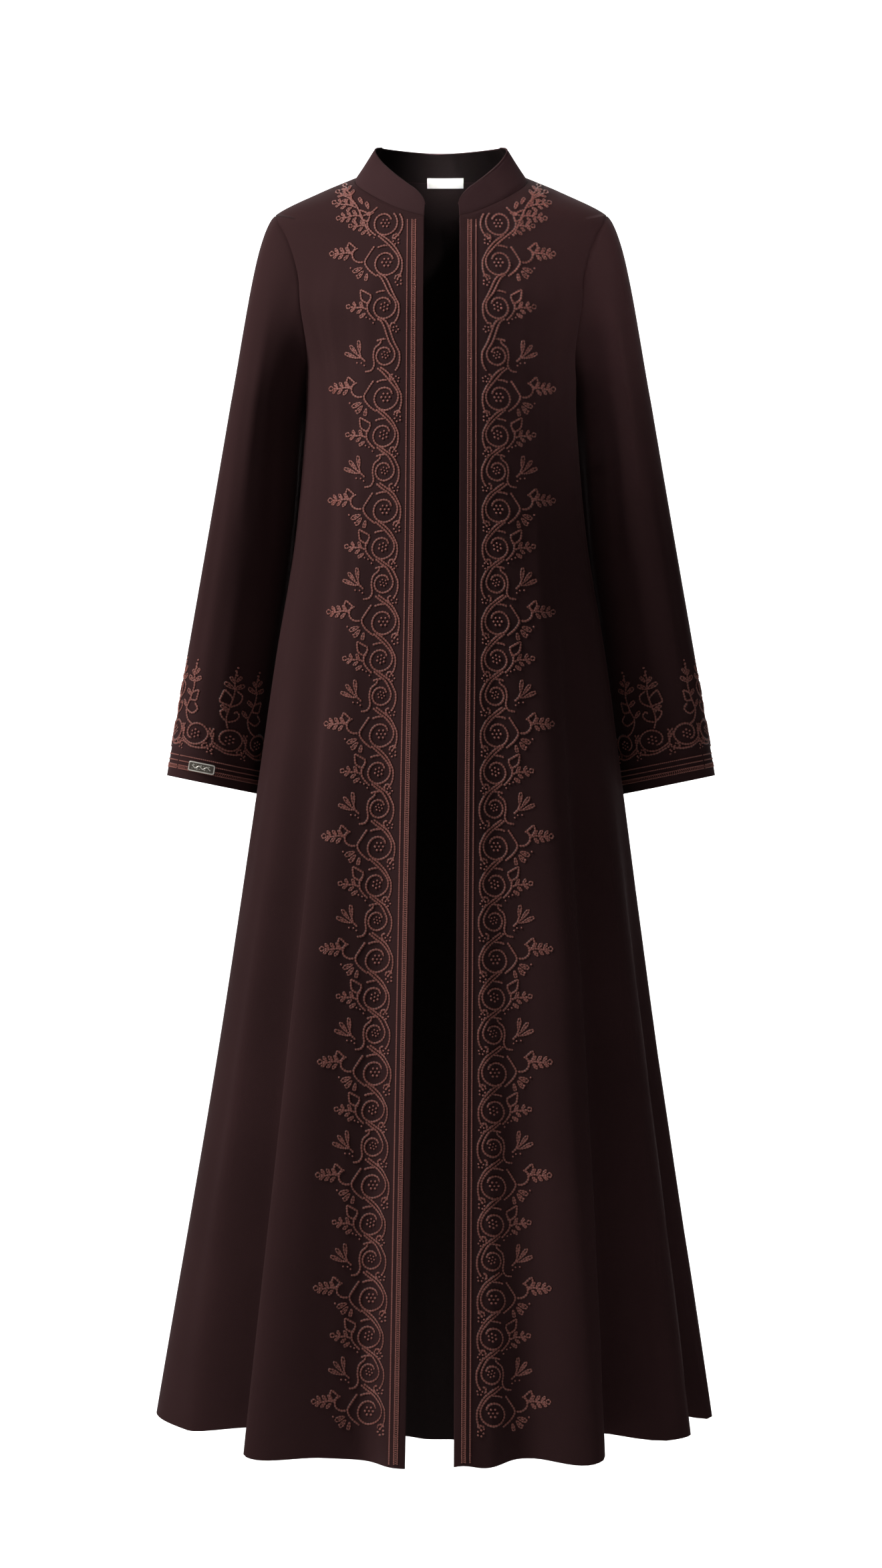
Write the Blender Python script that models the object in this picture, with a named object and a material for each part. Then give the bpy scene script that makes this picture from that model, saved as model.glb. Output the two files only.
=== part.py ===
"""An open-front abaya, filled out and hollow, as it hangs from the shoulders.

The origin lies between the two high shoulder points, where the collar meets the shoulder seams.
+Z is up and the open front faces -Y. Left and right are those of the front view: left is -X.
"""

import math

import bpy
import numpy as np

MM = 0.001

# Cloth, in millimetres
CLOTH_THICKNESS = 1.6
COLLAR_THICKNESS = 2.4
LABEL_THICKNESS = 1.0
SEAM_GAP = 0.3
ARMHOLE_GAP = 0.5
UNDERARM_STAND_OFF = 0.4

# Cut of the body, in millimetres and degrees
SHOULDER_TIP_HEIGHT = -45.0
UNDERARM_HEIGHT = -225.0
FRONT_NECK_DROP = 48.0
BACK_NECK_DROP = 2.0
ARMHOLE_SPREAD_FRONT = 18.5
ARMHOLE_SPREAD_BACK = 15.0
ARMHOLE_SCOOP = 0.18
FRONT_HEM_HEIGHT = -1466.0
SIDE_HEM_HEIGHT = -1416.0
BACK_HEM_HEIGHT = -1468.0
SIDE_ANGLE = 90.0
CENTRE_BACK_ANGLE = 180.0

# Collar and its rounded front ends
COLLAR_WIDTH = 34.0
COLLAR_SIDE_WIDTH = 38.0
COLLAR_CORNER_RUN = 15.0
COLLAR_CORNER_CUT = 19.0
COLLAR_UPRIGHT_RUN = 45.0
COLLAR_LEAN_FRONT = 17.0
COLLAR_LEAN_SIDE = 36.0
COLLAR_LEAN_BACK = 22.0
NECK_CENTRE_Y = -8.0

# Small pieces
LABEL_WIDTH = 42.0
LABEL_MIDDLE_X = 5.0
LABEL_ABOVE_SEAM = 6.0
LABEL_BELOW_SEAM = 10.0
LABEL_STEPS = 6
PLATE_LENGTH = 31.5
PLATE_WIDTH = 12.0
PLATE_THICKNESS = 1.2
PLATE_ANGLE = 72.0
PLATE_ABOVE_CUFF = 17.0

# How finely each wall is drawn
FRONT_COLUMNS = 17
BACK_HALF_COLUMNS = 18
SHOULDER_ROWS = 4
ARMHOLE_ROWS = 10
SKIRT_ROWS = 14
CAP_RINGS = 6
TUBE_RINGS = 13
COLLAR_ROWS = 3
COLLAR_END_STEPS = 3
COLLAR_END_SPLITS = 3
SKIRT_ROW_SPREAD = 1.35

# Level sections through the body. The polar centre of a section lies at centre_y, and its curve is
# a superellipse, so squareness 2 is an ellipse. Above the underarm the half width runs on past the
# armhole to where the two shoulders' slopes would meet the level.
SECTION_COLUMNS = ("height", "half_width", "front_depth", "back_depth", "squareness", "centre_y")
SECTIONS = (
    (12, 65, 38, 48, 2.0, 0),
    (0, 92, 51, 60, 2.0, 0),
    (-20, 140, 70, 75, 1.8, 0),
    (-45, 190, 86, 88, 1.65, 0),
    (-60, 205, 91, 92, 1.6, 0),
    (-90, 210, 103, 100, 1.55, 0),
    (-120, 198, 111, 105, 1.7, 0),
    (-160, 180, 119, 110, 2.0, 0),
    (-225, 156, 123, 116, 2.1, -3),
    (-262, 155, 121, 123, 2.05, -8),
    (-320, 158, 118, 130, 2.0, -13),
    (-410, 166, 117, 136, 2.0, -17),
    (-555, 189, 125, 148, 2.0, -19),
    (-720, 211, 134, 158, 2.1, -18),
    (-1000, 250, 158, 172, 2.2, -10),
    (-1420, 316, 190, 190, 2.2, 0),
    (-1500, 328, 195, 196, 2.2, 0),
)

# Where the two front edges hang, left and right of the middle
EDGE_COLUMNS = ("height", "left_x", "right_x")
FRONT_EDGES = (
    (-45, -20, 22),
    (-400, -22, 21.5),
    (-720, -27.5, 18.8),
    (-1100, -34, 16.5),
    (-1470, -40.5, 14.5),
)

# One row for each fold. Angles run from the middle of the front, and those to the left are negative.
# A fold starts at its start height and deepens down to the hem. A positive depth stands out as a
# ridge and a negative one is a trough. hem_drop lowers the hem along the fold.
FOLD_COLUMNS = ("top_angle", "hem_angle", "half_width", "depth", "start_height", "hem_drop")
FOLDS = (
    (-60, -62.5, 10, -46, -190, -12),
    (-48, -50, 12, 13, -190, 8),
    (-31, -31, 14, -7, -600, -1),
    (-14, -14, 9, 3, -600, 0),
    (-88, -86, 15, 12, -500, -1),
    (66, 54, 8.5, -38, -230, -14),
    (52, 42, 10, 10, -230, 8),
    (27, 27, 12, -6, -600, -5),
    (10, 7, 8, 3, -600, -4),
    (72, 65, 8, 12, -500, -1),
    (82, 75, 7.5, -41, -650, -14),
    (95, 92, 12, -13, -600, -11),
    (-112, -112, 10, -34, -350, -8),
    (-126, -128, 12, 10, -400, 3),
    (-146, -147, 11, -26, -450, -6),
    (-168, -166, 10, -14, -600, -4),
    (118, 114, 10, -36, -400, -8),
    (133, 131, 11, 10, -400, 3),
    (150, 149, 11, -24, -500, -6),
    (172, 169, 9, 8, -600, 3),
)
FOLD_GROWTH = 1.25

# Rings of the right sleeve below its cap, from its outer line to its inner line. The outer line lies
# this lean in front of the ring's middle and the inner line as far behind it.
SLEEVE_COLUMNS = ("outer_x", "outer_z", "inner_x", "inner_z", "front_y", "back_y", "lean")
SLEEVE_SECTIONS = (
    (241, -262, 150, -290, -48, 78, 30),
    (266.5, -410, 161, -433, -43, 79, 30),
    (292, -555, 184, -577, -36, 80, 28),
    (315, -687.5, 205, -710, -31, 77, 16),
)

# How the sleeve leaves the armhole, and how it enters its first ring
CAP_TOP_PULL = (62, 0, -30)
CAP_UNDERARM_PULL = (9, 27, -45)
CAP_FRONT_SWELL = 14.0
CAP_END_PULL_TOP = (45, 0, -240)
CAP_END_PULL_UNDERARM = (2, 0, -70)

# Colour, roughness and metallic value of each material
MATERIALS = {
    "crepe": ((0.045, 0.020, 0.022, 1.0), 0.85, 0.0),
    "collar_crepe": ((0.055, 0.024, 0.026, 1.0), 0.80, 0.0),
    "label": ((0.85, 0.84, 0.82, 1.0), 0.70, 0.0),
    "plate": ((0.72, 0.68, 0.60, 1.0), 0.32, 1.0),
}


def smooth_curve(places, values):
    """A function through the points, cubic and with no overshoot."""
    order = np.argsort(places)
    x = np.array(places, float)[order]
    y = np.array(values, float)[order]
    slopes = np.diff(y) / np.diff(x)
    before, after = slopes[:-1], slopes[1:]
    same_way = before * after > 0
    total = np.where(same_way, before + after, 1.0)
    middle = np.where(same_way, 2.0 * before * after / total, 0.0)
    tangents = np.concatenate([slopes[:1], middle, slopes[-1:]])

    def value(at):
        at = np.asarray(at, float)
        i = np.clip(np.searchsorted(x, at) - 1, 0, len(x) - 2)
        step = x[i + 1] - x[i]
        t = np.clip((at - x[i]) / step, 0.0, 1.0)
        rise = t * t * (3.0 - 2.0 * t)
        return (
            y[i] * (1.0 - rise)
            + y[i + 1] * rise
            + step * tangents[i] * t * (1.0 - t) ** 2
            - step * tangents[i + 1] * t * t * (1.0 - t)
        )

    return value


def table_curves(columns, rows):
    """One smooth function of the first column for each other column of a table."""
    by_column = list(zip(*rows))
    return {name: smooth_curve(by_column[0], by_column[k]) for k, name in enumerate(columns) if k}


BODY = table_curves(SECTION_COLUMNS, SECTIONS)
EDGE = table_curves(EDGE_COLUMNS, FRONT_EDGES)


def unit(vectors):
    return vectors / np.linalg.norm(vectors, axis=-1, keepdims=True)


def bell(offset):
    """A bump of height 1 that dies out at -1 and 1."""
    return np.where(np.abs(offset) < 1.0, 0.5 + 0.5 * np.cos(np.pi * offset), 0.0)


def angle_between(angle, other):
    return (angle - other + 180.0) % 360.0 - 180.0


def fold_rise(angle, height):
    """How far the folds push the cloth out of its plain section."""
    rise = np.zeros(np.broadcast(angle, height).shape)
    for top_angle, hem_angle, half_width, depth, start, _ in FOLDS:
        share = np.clip((start - height) / (start - FRONT_HEM_HEIGHT), 0.0, 1.2)
        middle = top_angle + (hem_angle - top_angle) * share
        rise += depth * share**FOLD_GROWTH * bell(angle_between(angle, middle) / half_width)
    return rise


def body_radius(angle, height):
    """Distance of the cloth's outer face from the polar centre of its section."""
    sine = np.abs(np.sin(np.radians(angle)))
    cosine = np.cos(np.radians(angle))
    power = BODY["squareness"](height)
    depth = np.where(cosine > 0.0, BODY["front_depth"](height), BODY["back_depth"](height))
    across = (sine / BODY["half_width"](height)) ** power
    along = (np.abs(cosine) / depth) ** power
    return (across + along) ** (-1.0 / power) + fold_rise(angle, height)


def body_point(angle, height):
    angle, height = np.broadcast_arrays(np.asarray(angle, float), np.asarray(height, float))
    radius = body_radius(angle, height)
    x = radius * np.sin(np.radians(angle))
    y = BODY["centre_y"](height) - radius * np.cos(np.radians(angle))
    return np.stack([x, y, height], axis=-1)


def body_normal(angle, height):
    """The outward direction of the body's surface."""
    angle_step, height_step = 0.4, 1.5
    round_the_body = body_point(angle + angle_step, height) - body_point(angle - angle_step, height)
    up = body_point(angle, height + height_step) - body_point(angle, height - height_step)
    return unit(np.cross(round_the_body, up))


def neck_height(angle):
    drop = np.where(np.abs(angle) < SIDE_ANGLE, FRONT_NECK_DROP, BACK_NECK_DROP)
    return -drop * np.cos(np.radians(angle)) ** 2


def hem_height(angle):
    lowest = np.where(np.abs(angle) < SIDE_ANGLE, FRONT_HEM_HEIGHT, BACK_HEM_HEIGHT)
    plain = SIDE_HEM_HEIGHT + (lowest - SIDE_HEM_HEIGHT) * np.abs(np.cos(np.radians(angle)))
    for _, hem_angle, half_width, _, _, drop in FOLDS:
        plain = plain - drop * bell(angle_between(angle, hem_angle) / half_width)
    return plain


def half_seam_angle(height):
    """Half of a seam's gap, as an angle at the side of the body."""
    return np.degrees(0.5 * SEAM_GAP / BODY["half_width"](height))


def inner_angle(side, face, height):
    """The angle of a half panel's inner edge: the front edge, or the middle of the back."""
    if face == "back":
        return side * CENTRE_BACK_ANGLE + 0.0 * height
    x = EDGE["left_x" if side < 0 else "right_x"](height)
    return np.degrees(np.arctan2(x, BODY["front_depth"](height)))


def side_angle(side, face, height):
    away = -1.0 if face == "front" else 1.0
    return side * (SIDE_ANGLE + away * half_seam_angle(height))


def armhole_turn(turn):
    """Height and spread share at a turn round the armhole: 0 at the shoulder, 180 at the underarm."""
    turn = np.radians(turn)
    middle = 0.5 * (SHOULDER_TIP_HEIGHT + UNDERARM_HEIGHT)
    half = 0.5 * (SHOULDER_TIP_HEIGHT - UNDERARM_HEIGHT)
    return middle + half * np.cos(turn), np.sin(turn) * (1.0 - ARMHOLE_SCOOP * np.cos(turn))


def armhole_domain(side, face, turn):
    height, share = armhole_turn(turn)
    spread = ARMHOLE_SPREAD_FRONT if face == "front" else ARMHOLE_SPREAD_BACK
    toward_middle = -1.0 if face == "front" else 1.0
    return side_angle(side, face, height) + side * toward_middle * spread * share, height


def outer_boundary(side, face):
    """Angles and heights down the shoulder seam and then round the armhole to the underarm."""
    seam_heights = np.linspace(0.0, SHOULDER_TIP_HEIGHT, SHOULDER_ROWS + 1)[:-1]
    seam_angles = side_angle(side, face, seam_heights)
    turns = np.linspace(0.0, 180.0, ARMHOLE_ROWS + 1)
    armhole_angles, armhole_heights = armhole_domain(side, face, turns)
    return (
        np.concatenate([seam_angles, armhole_angles]),
        np.concatenate([seam_heights, armhole_heights]),
    )


def half_panel(side, face, columns):
    """Angles and heights of a half panel's points: rows run down, columns from its inner edge out."""
    u = np.linspace(0.0, 1.0, columns + 1)[None, :]
    rows = SHOULDER_ROWS + ARMHOLE_ROWS
    v = np.linspace(0.0, 1.0, rows + 1)[:, None]

    neck_start = inner_angle(side, face, np.array(-FRONT_NECK_DROP))
    top_angles = neck_start + (side_angle(side, face, 0.0) - neck_start) * u
    top_heights = neck_height(top_angles)
    inner_heights = top_heights[0, 0] + (UNDERARM_HEIGHT - top_heights[0, 0]) * v
    inner_angles = inner_angle(side, face, inner_heights)
    outer_angles, outer_heights = (line[:, None] for line in outer_boundary(side, face))
    low_angles = inner_angles[-1, 0] + (outer_angles[-1, 0] - inner_angles[-1, 0]) * u
    low_heights = UNDERARM_HEIGHT + 0.0 * u

    def filled(inner, outer, top, low):
        """The patch between four boundary lines."""
        across = (1.0 - u) * inner + u * outer
        down = (1.0 - v) * top + v * low
        corners = (
            (1.0 - u) * (1.0 - v) * top[0, 0]
            + u * (1.0 - v) * top[0, -1]
            + (1.0 - u) * v * low[0, 0]
            + u * v * low[0, -1]
        )
        return across + down - corners

    upper_angles = filled(inner_angles, outer_angles, top_angles, low_angles)
    upper_heights = filled(inner_heights, outer_heights, top_heights, low_heights)

    share = np.linspace(0.0, 1.0, SKIRT_ROWS + 1)[1:, None] ** SKIRT_ROW_SPREAD
    level = UNDERARM_HEIGHT + share * (FRONT_HEM_HEIGHT - UNDERARM_HEIGHT)
    skirt_inner = inner_angle(side, face, level)
    skirt_angles = skirt_inner + (side_angle(side, face, level) - skirt_inner) * u
    skirt_heights = UNDERARM_HEIGHT + share * (hem_height(skirt_angles) - UNDERARM_HEIGHT)
    return (
        np.concatenate([upper_angles, skirt_angles]),
        np.concatenate([upper_heights, skirt_heights]),
    )


def body_sheet(side, face, columns):
    """The outer and inner faces of a half panel."""
    angles, heights = half_panel(side, face, columns)
    outer = body_point(angles, heights)
    return outer, outer - CLOTH_THICKNESS * body_normal(angles, heights)


def armhole_ring(side, turns, value_at):
    """Points or normals of the body round the armhole seam, from the front on to the back."""
    face_turns = np.where(turns <= 180.0, turns, 360.0 - turns)
    front = value_at(*armhole_domain(side, "front", face_turns))
    back = value_at(*armhole_domain(side, "back", face_turns))
    return np.where((turns <= 180.0)[:, None], front, back)


SLEEVE_PLACES = np.linspace(0.0, 1.0, len(SLEEVE_SECTIONS))
SLEEVE = {
    name: smooth_curve(SLEEVE_PLACES, column)
    for name, column in zip(SLEEVE_COLUMNS, zip(*SLEEVE_SECTIONS))
}


def sleeve_ring(side, turns, place):
    """A ring of the sleeve below its cap: turn 0 is its outer line and 90 its front."""
    outer = np.array([SLEEVE["outer_x"](place), SLEEVE["outer_z"](place)])
    inner = np.array([SLEEVE["inner_x"](place), SLEEVE["inner_z"](place)])
    front, back = SLEEVE["front_y"](place), SLEEVE["back_y"](place)
    turn = np.radians(turns)[:, None]
    x_z = 0.5 * (outer + inner) + 0.5 * (outer - inner) * np.cos(turn)
    y = 0.5 * (front + back) - 0.5 * (back - front) * np.sin(turn)
    y -= SLEEVE["lean"](place) * np.cos(turn)
    return np.concatenate([side * x_z[:, :1], y, x_z[:, 1:]], axis=1)


def cap_pull(side, turns, at_top, at_underarm):
    """A direction that turns smoothly from the top of the sleeve to its underarm."""
    toward_top = (0.5 + 0.5 * np.cos(np.radians(turns)))[:, None]
    pull = toward_top * np.array(at_top) + (1.0 - toward_top) * np.array(at_underarm)
    return pull * np.array([side, 1.0, 1.0])


def sleeve_rings(side, turns):
    """All rings of a sleeve, from the armhole to the cuff."""
    start_pull = cap_pull(side, turns, CAP_TOP_PULL, CAP_UNDERARM_PULL)
    start_pull[:, 1] -= CAP_FRONT_SWELL * np.sin(np.radians(turns))
    end_pull = cap_pull(side, turns, CAP_END_PULL_TOP, CAP_END_PULL_UNDERARM)
    start = armhole_ring(side, turns, body_point) + ARMHOLE_GAP * unit(start_pull)
    under = (0.5 - 0.5 * np.cos(np.radians(turns)))[:, None]
    start += UNDERARM_STAND_OFF * under * armhole_ring(side, turns, body_normal)
    end = sleeve_ring(side, turns, 0.0)
    rings = []
    for t in np.linspace(0.0, 1.0, CAP_RINGS + 1):
        rise = t * t * (3.0 - 2.0 * t)
        ring = start * (1.0 - rise) + end * rise
        ring += start_pull * t * (1.0 - t) ** 2 - end_pull * t * t * (1.0 - t)
        rings.append(ring)
    for place in np.linspace(0.0, 1.0, TUBE_RINGS + 1)[1:]:
        rings.append(sleeve_ring(side, turns, place))
    return np.array(rings)


def grid_normals(points, turns_close):
    """Unit normals of a grid of points. With turns_close its columns close round on themselves."""
    down = np.gradient(points, axis=0)
    if turns_close:
        across = np.roll(points, -1, axis=1) - np.roll(points, 1, axis=1)
    else:
        across = np.gradient(points, axis=1)
    return unit(np.cross(across, down))


def sleeve_sheet(side):
    """The outer and inner faces of a sleeve. Its first column is repeated as its last."""
    turns = np.linspace(0.0, 360.0, 2 * ARMHOLE_ROWS + 1)[:-1]
    outer = sleeve_rings(side, turns)
    outward = side * grid_normals(outer, turns_close=True)
    over_shoulder = np.clip(np.cos(np.radians(turns)), 0.0, 1.0)[:, None]
    seam_outward = armhole_ring(side, turns, body_normal)
    outward[0] = unit(outward[0] + over_shoulder * (seam_outward - outward[0]))
    inner = outer - CLOTH_THICKNESS * outward
    return (
        np.concatenate([outer, outer[:, :1]], axis=1),
        np.concatenate([inner, inner[:, :1]], axis=1),
    )


def neckline(halves):
    """The neck edge of the body, from the left front round the back to the right front."""
    left_front, left_back, right_back, right_front = (halves[name][0][0] for name in halves)
    return np.concatenate([left_front, left_back[-2::-1], right_back[1:], right_front[-2::-1]])


def with_split_ends(line):
    """The same line with its first and last steps split, where the collar's corners turn."""
    ends = range(COLLAR_END_STEPS), range(len(line) - 1 - COLLAR_END_STEPS, len(line) - 1)
    split = set(ends[0]) | set(ends[1])
    points = []
    for k in range(len(line) - 1):
        pieces = COLLAR_END_SPLITS if k in split else 1
        points += [line[k] + (line[k + 1] - line[k]) * share / pieces for share in range(pieces)]
    return np.array(points + [line[-1]])


def corner_cut(distance):
    """How much the rounded end takes off the collar's width, this far from the end."""
    inside = np.clip(1.0 - distance / COLLAR_CORNER_RUN, 0.0, 1.0)
    return COLLAR_CORNER_CUT * (1.0 - np.sqrt(1.0 - inside**2))


def collar_sheet(neck_edge):
    """The outer and inner faces of the stand collar, raised on the neck edge."""
    base = with_split_ends(neck_edge)
    steps = np.linalg.norm(np.diff(base, axis=0), axis=1)
    run = np.concatenate([[0.0], np.cumsum(steps)])
    from_end = np.minimum(run, run[-1] - run)

    along = unit(np.gradient(base, axis=0))
    inward = np.array([0.0, NECK_CENTRE_Y, 0.0]) - base
    inward[:, 2] = 0.0
    inward = unit(inward)
    toward_side = inward[:, :1] ** 2
    end_lean = np.where(inward[:, 1:2] > 0.0, COLLAR_LEAN_FRONT, COLLAR_LEAN_BACK)
    lean = np.radians(end_lean + (COLLAR_LEAN_SIDE - end_lean) * toward_side)
    upward = np.array([0.0, 0.0, 1.0]) * np.cos(lean) + inward * np.sin(lean)
    square_to_seam = np.clip(from_end / COLLAR_UPRIGHT_RUN, 0.0, 1.0)[:, None]
    raised = unit(upward - square_to_seam * along * np.sum(upward * along, axis=1, keepdims=True))
    width = COLLAR_WIDTH + (COLLAR_SIDE_WIDTH - COLLAR_WIDTH) * toward_side
    width = width - corner_cut(from_end)[:, None]

    share = np.linspace(0.0, 1.0, COLLAR_ROWS + 1)[:, None, None]
    outer = base + raised * (SEAM_GAP + share * (width - SEAM_GAP))
    outward = unit(np.cross(raised, along))
    return outer, outer - COLLAR_THICKNESS * outward


def label_sheet(halves, collar_inner):
    """The bare label, over the collar seam on the inside of the back."""
    middle = collar_inner.shape[1] // 2
    left_half, right_half = halves["left_back"][1], halves["right_back"][1]
    count = right_half.shape[1] - 1
    back_inner = np.concatenate([left_half[:2, count:0:-1], right_half[:2]], axis=1)
    columns = np.arange(middle - count, middle + count + 1)

    def lined(line, across):
        """The points of a line at these places across the label."""
        run = line[:, 0]
        return np.stack([np.interp(across, run, line[:, k]) for k in range(3)], axis=1)

    def part_way(low, high, distance):
        """Points this far up or down from one row of a grid towards the next."""
        return low + distance * unit(high - low)

    half_width = 0.5 * LABEL_WIDTH
    across = LABEL_MIDDLE_X + np.linspace(-half_width, half_width, LABEL_STEPS + 1)
    base, raised = collar_inner[0, columns], collar_inner[1, columns]
    rows = (
        part_way(base, raised, LABEL_ABOVE_SEAM),
        base,
        part_way(back_inner[0], back_inner[1], LABEL_BELOW_SEAM),
    )
    face = np.array([lined(row, across) for row in rows])
    into_neck = grid_normals(face, turns_close=False)
    into_neck *= np.sign(NECK_CENTRE_Y - face[..., 1:2]) * np.sign(into_neck[..., 1:2])
    return face + (SEAM_GAP + LABEL_THICKNESS) * into_neck, face + SEAM_GAP * into_neck


def plate_sheet(side):
    """The outer and inner faces of the cuff plate, bent to the sleeve it lies on."""
    sleeve_length = -SLEEVE_SECTIONS[-1][1] + SLEEVE_SECTIONS[0][1]
    middle = 1.0 - PLATE_ABOVE_CUFF / sleeve_length
    radius = 0.5 * (SLEEVE_SECTIONS[-1][0] - SLEEVE_SECTIONS[-1][2])
    half_turn = np.degrees(0.5 * PLATE_LENGTH / radius)
    turns = PLATE_ANGLE + np.linspace(half_turn, -half_turn, 7)
    places = middle + 0.5 * PLATE_WIDTH / sleeve_length * np.linspace(-1.0, 1.0, 4)
    face = np.array([sleeve_ring(side, turns, place) for place in places])
    outward = grid_normals(face, turns_close=False)
    outward *= -np.sign(outward[..., 1:2])
    return face + (SEAM_GAP + PLATE_THICKNESS) * outward, face + SEAM_GAP * outward


def closed_wall(sheets):
    """Points and triangles of one closed wall: both faces of its sheets, welded, and their rims."""
    outer, inner, numbers, triangles = [], [], {}, []
    for outer_grid, inner_grid in sheets:
        rows, columns = outer_grid.shape[:2]
        index = np.zeros((rows, columns), int)
        for r in range(rows):
            for c in range(columns):
                place = tuple(np.round(outer_grid[r, c], 3) + 0.0)
                if place not in numbers:
                    numbers[place] = len(outer)
                    outer.append(outer_grid[r, c])
                    inner.append(inner_grid[r, c])
                index[r, c] = numbers[place]
        for r in range(rows - 1):
            for c in range(columns - 1):
                a, b = index[r, c], index[r, c + 1]
                d, e = index[r + 1, c], index[r + 1, c + 1]
                triangles += [(a, b, e), (a, e, d)]

    count = len(outer)
    sides = {(t[k], t[(k + 1) % 3]) for t in triangles for k in range(3)}
    rim = [(a, b) for a, b in sides if (b, a) not in sides]
    faces = list(triangles)
    faces += [(c + count, b + count, a + count) for a, b, c in triangles]
    for a, b in sorted(rim):
        faces += [(b, a, a + count), (b, a + count, b + count)]
    return np.array(outer + inner) * MM, faces


def signed_volume(points, faces):
    corners = points[np.array(faces)]
    return np.linalg.det(corners).sum() / 6.0


def material(name):
    colour, roughness, metallic = MATERIALS[name]
    made = bpy.data.materials.new(name)
    made.use_nodes = True
    shader = made.node_tree.nodes["Principled BSDF"]
    shader.inputs["Base Color"].default_value = colour
    shader.inputs["Roughness"].default_value = roughness
    shader.inputs["Metallic"].default_value = metallic
    made.diffuse_color = colour
    return made


def add_wall(name, sheets, material_name, collection):
    """A closed wall as an object of its own, with its faces pointing out."""
    points, faces = closed_wall(sheets)
    if signed_volume(points, faces) < 0.0:
        faces = [face[::-1] for face in faces]
    mesh = bpy.data.meshes.new(name)
    mesh.from_pydata(points.tolist(), [], [tuple(int(i) for i in face) for face in faces])
    mesh.materials.append(material(material_name))
    mesh.shade_smooth()
    mesh.set_sharp_from_angle(angle=math.radians(40.0))
    made = bpy.data.objects.new(name, mesh)
    collection.objects.link(made)
    return made


def clear_scene():
    for old in list(bpy.data.objects):
        bpy.data.objects.remove(old, do_unlink=True)


def build_abaya():
    clear_scene()
    collection = bpy.data.collections.new("abaya")
    bpy.context.scene.collection.children.link(collection)

    halves = {
        "left_front": body_sheet(-1.0, "front", FRONT_COLUMNS),
        "left_back": body_sheet(-1.0, "back", BACK_HALF_COLUMNS),
        "right_back": body_sheet(1.0, "back", BACK_HALF_COLUMNS),
        "right_front": body_sheet(1.0, "front", FRONT_COLUMNS),
    }
    left_back_turned = [grid[:, ::-1] for grid in halves["left_back"]]
    add_wall("back", [left_back_turned, halves["right_back"]], "crepe", collection)
    add_wall("front_left", [halves["left_front"]], "crepe", collection)
    add_wall("front_right", [halves["right_front"]], "crepe", collection)
    add_wall("sleeve_left", [sleeve_sheet(-1.0)], "crepe", collection)
    add_wall("sleeve_right", [sleeve_sheet(1.0)], "crepe", collection)
    collar = collar_sheet(neckline(halves))
    add_wall("collar", [collar], "collar_crepe", collection)
    add_wall("neck_label", [label_sheet(halves, collar[1])], "label", collection)
    add_wall("cuff_plate", [plate_sheet(-1.0)], "plate", collection)


build_abaya()
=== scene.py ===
"""The looks of an open-front abaya, filled out and hollow as worn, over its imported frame.

The cloth lies on the solids' form, drawn finer, with soft creases added. Its neck line, collar and
some folds follow the photograph more closely. Points are in millimetres and angles in degrees until
a mesh is made. Angles run round the body from the middle of the front, negative to the left of the
front view, and heights run down from the shoulders.
"""

import math

import bpy
import numpy as np
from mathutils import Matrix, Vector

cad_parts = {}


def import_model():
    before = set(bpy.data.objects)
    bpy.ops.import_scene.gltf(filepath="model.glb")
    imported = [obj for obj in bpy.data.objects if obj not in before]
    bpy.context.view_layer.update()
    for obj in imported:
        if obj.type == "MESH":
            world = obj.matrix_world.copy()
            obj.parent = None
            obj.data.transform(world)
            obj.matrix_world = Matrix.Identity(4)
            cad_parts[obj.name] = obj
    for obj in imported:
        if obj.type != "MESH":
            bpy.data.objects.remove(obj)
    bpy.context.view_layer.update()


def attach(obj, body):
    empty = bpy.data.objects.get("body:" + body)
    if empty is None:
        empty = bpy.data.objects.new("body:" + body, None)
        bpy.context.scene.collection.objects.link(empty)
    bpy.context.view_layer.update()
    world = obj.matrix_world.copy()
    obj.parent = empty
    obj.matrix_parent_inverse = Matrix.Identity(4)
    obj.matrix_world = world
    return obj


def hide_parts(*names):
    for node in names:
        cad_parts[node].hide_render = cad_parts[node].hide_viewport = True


MM = 0.001

# Cut of the body. The tucks draw the sleeves in along the armholes, so that no light shows there.
CLOTH_THICKNESS = 1.3
SEAM_GAP = 0.3
ARMHOLE_GAP = 0.05
UNDERARM_STAND_OFF = 0.15
ARMHOLE_TUCK = 0.8
ARMHOLE_TUCK_REACH = 60.0
UNDERARM_TUCK = 1.1
UNDERARM_TUCK_REACH = 27.0
SHOULDER_TIP_HEIGHT = -45.0
UNDERARM_HEIGHT = -225.0
FRONT_NECK_DROP = 54.0
BACK_NECK_DROP = 2.0
NECK_ROUNDNESS = 1.4
ARMHOLE_SPREAD_FRONT = 18.5
ARMHOLE_SPREAD_BACK = 15.0
ARMHOLE_SCOOP = 0.18
FRONT_HEM_HEIGHT = -1466.0
SIDE_HEM_HEIGHT = -1416.0
BACK_HEM_HEIGHT = -1468.0
SIDE_ANGLE = 90.0
CENTRE_BACK_ANGLE = 180.0
SIDES = ((-1.0, "left"), (1.0, "right"))

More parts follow.
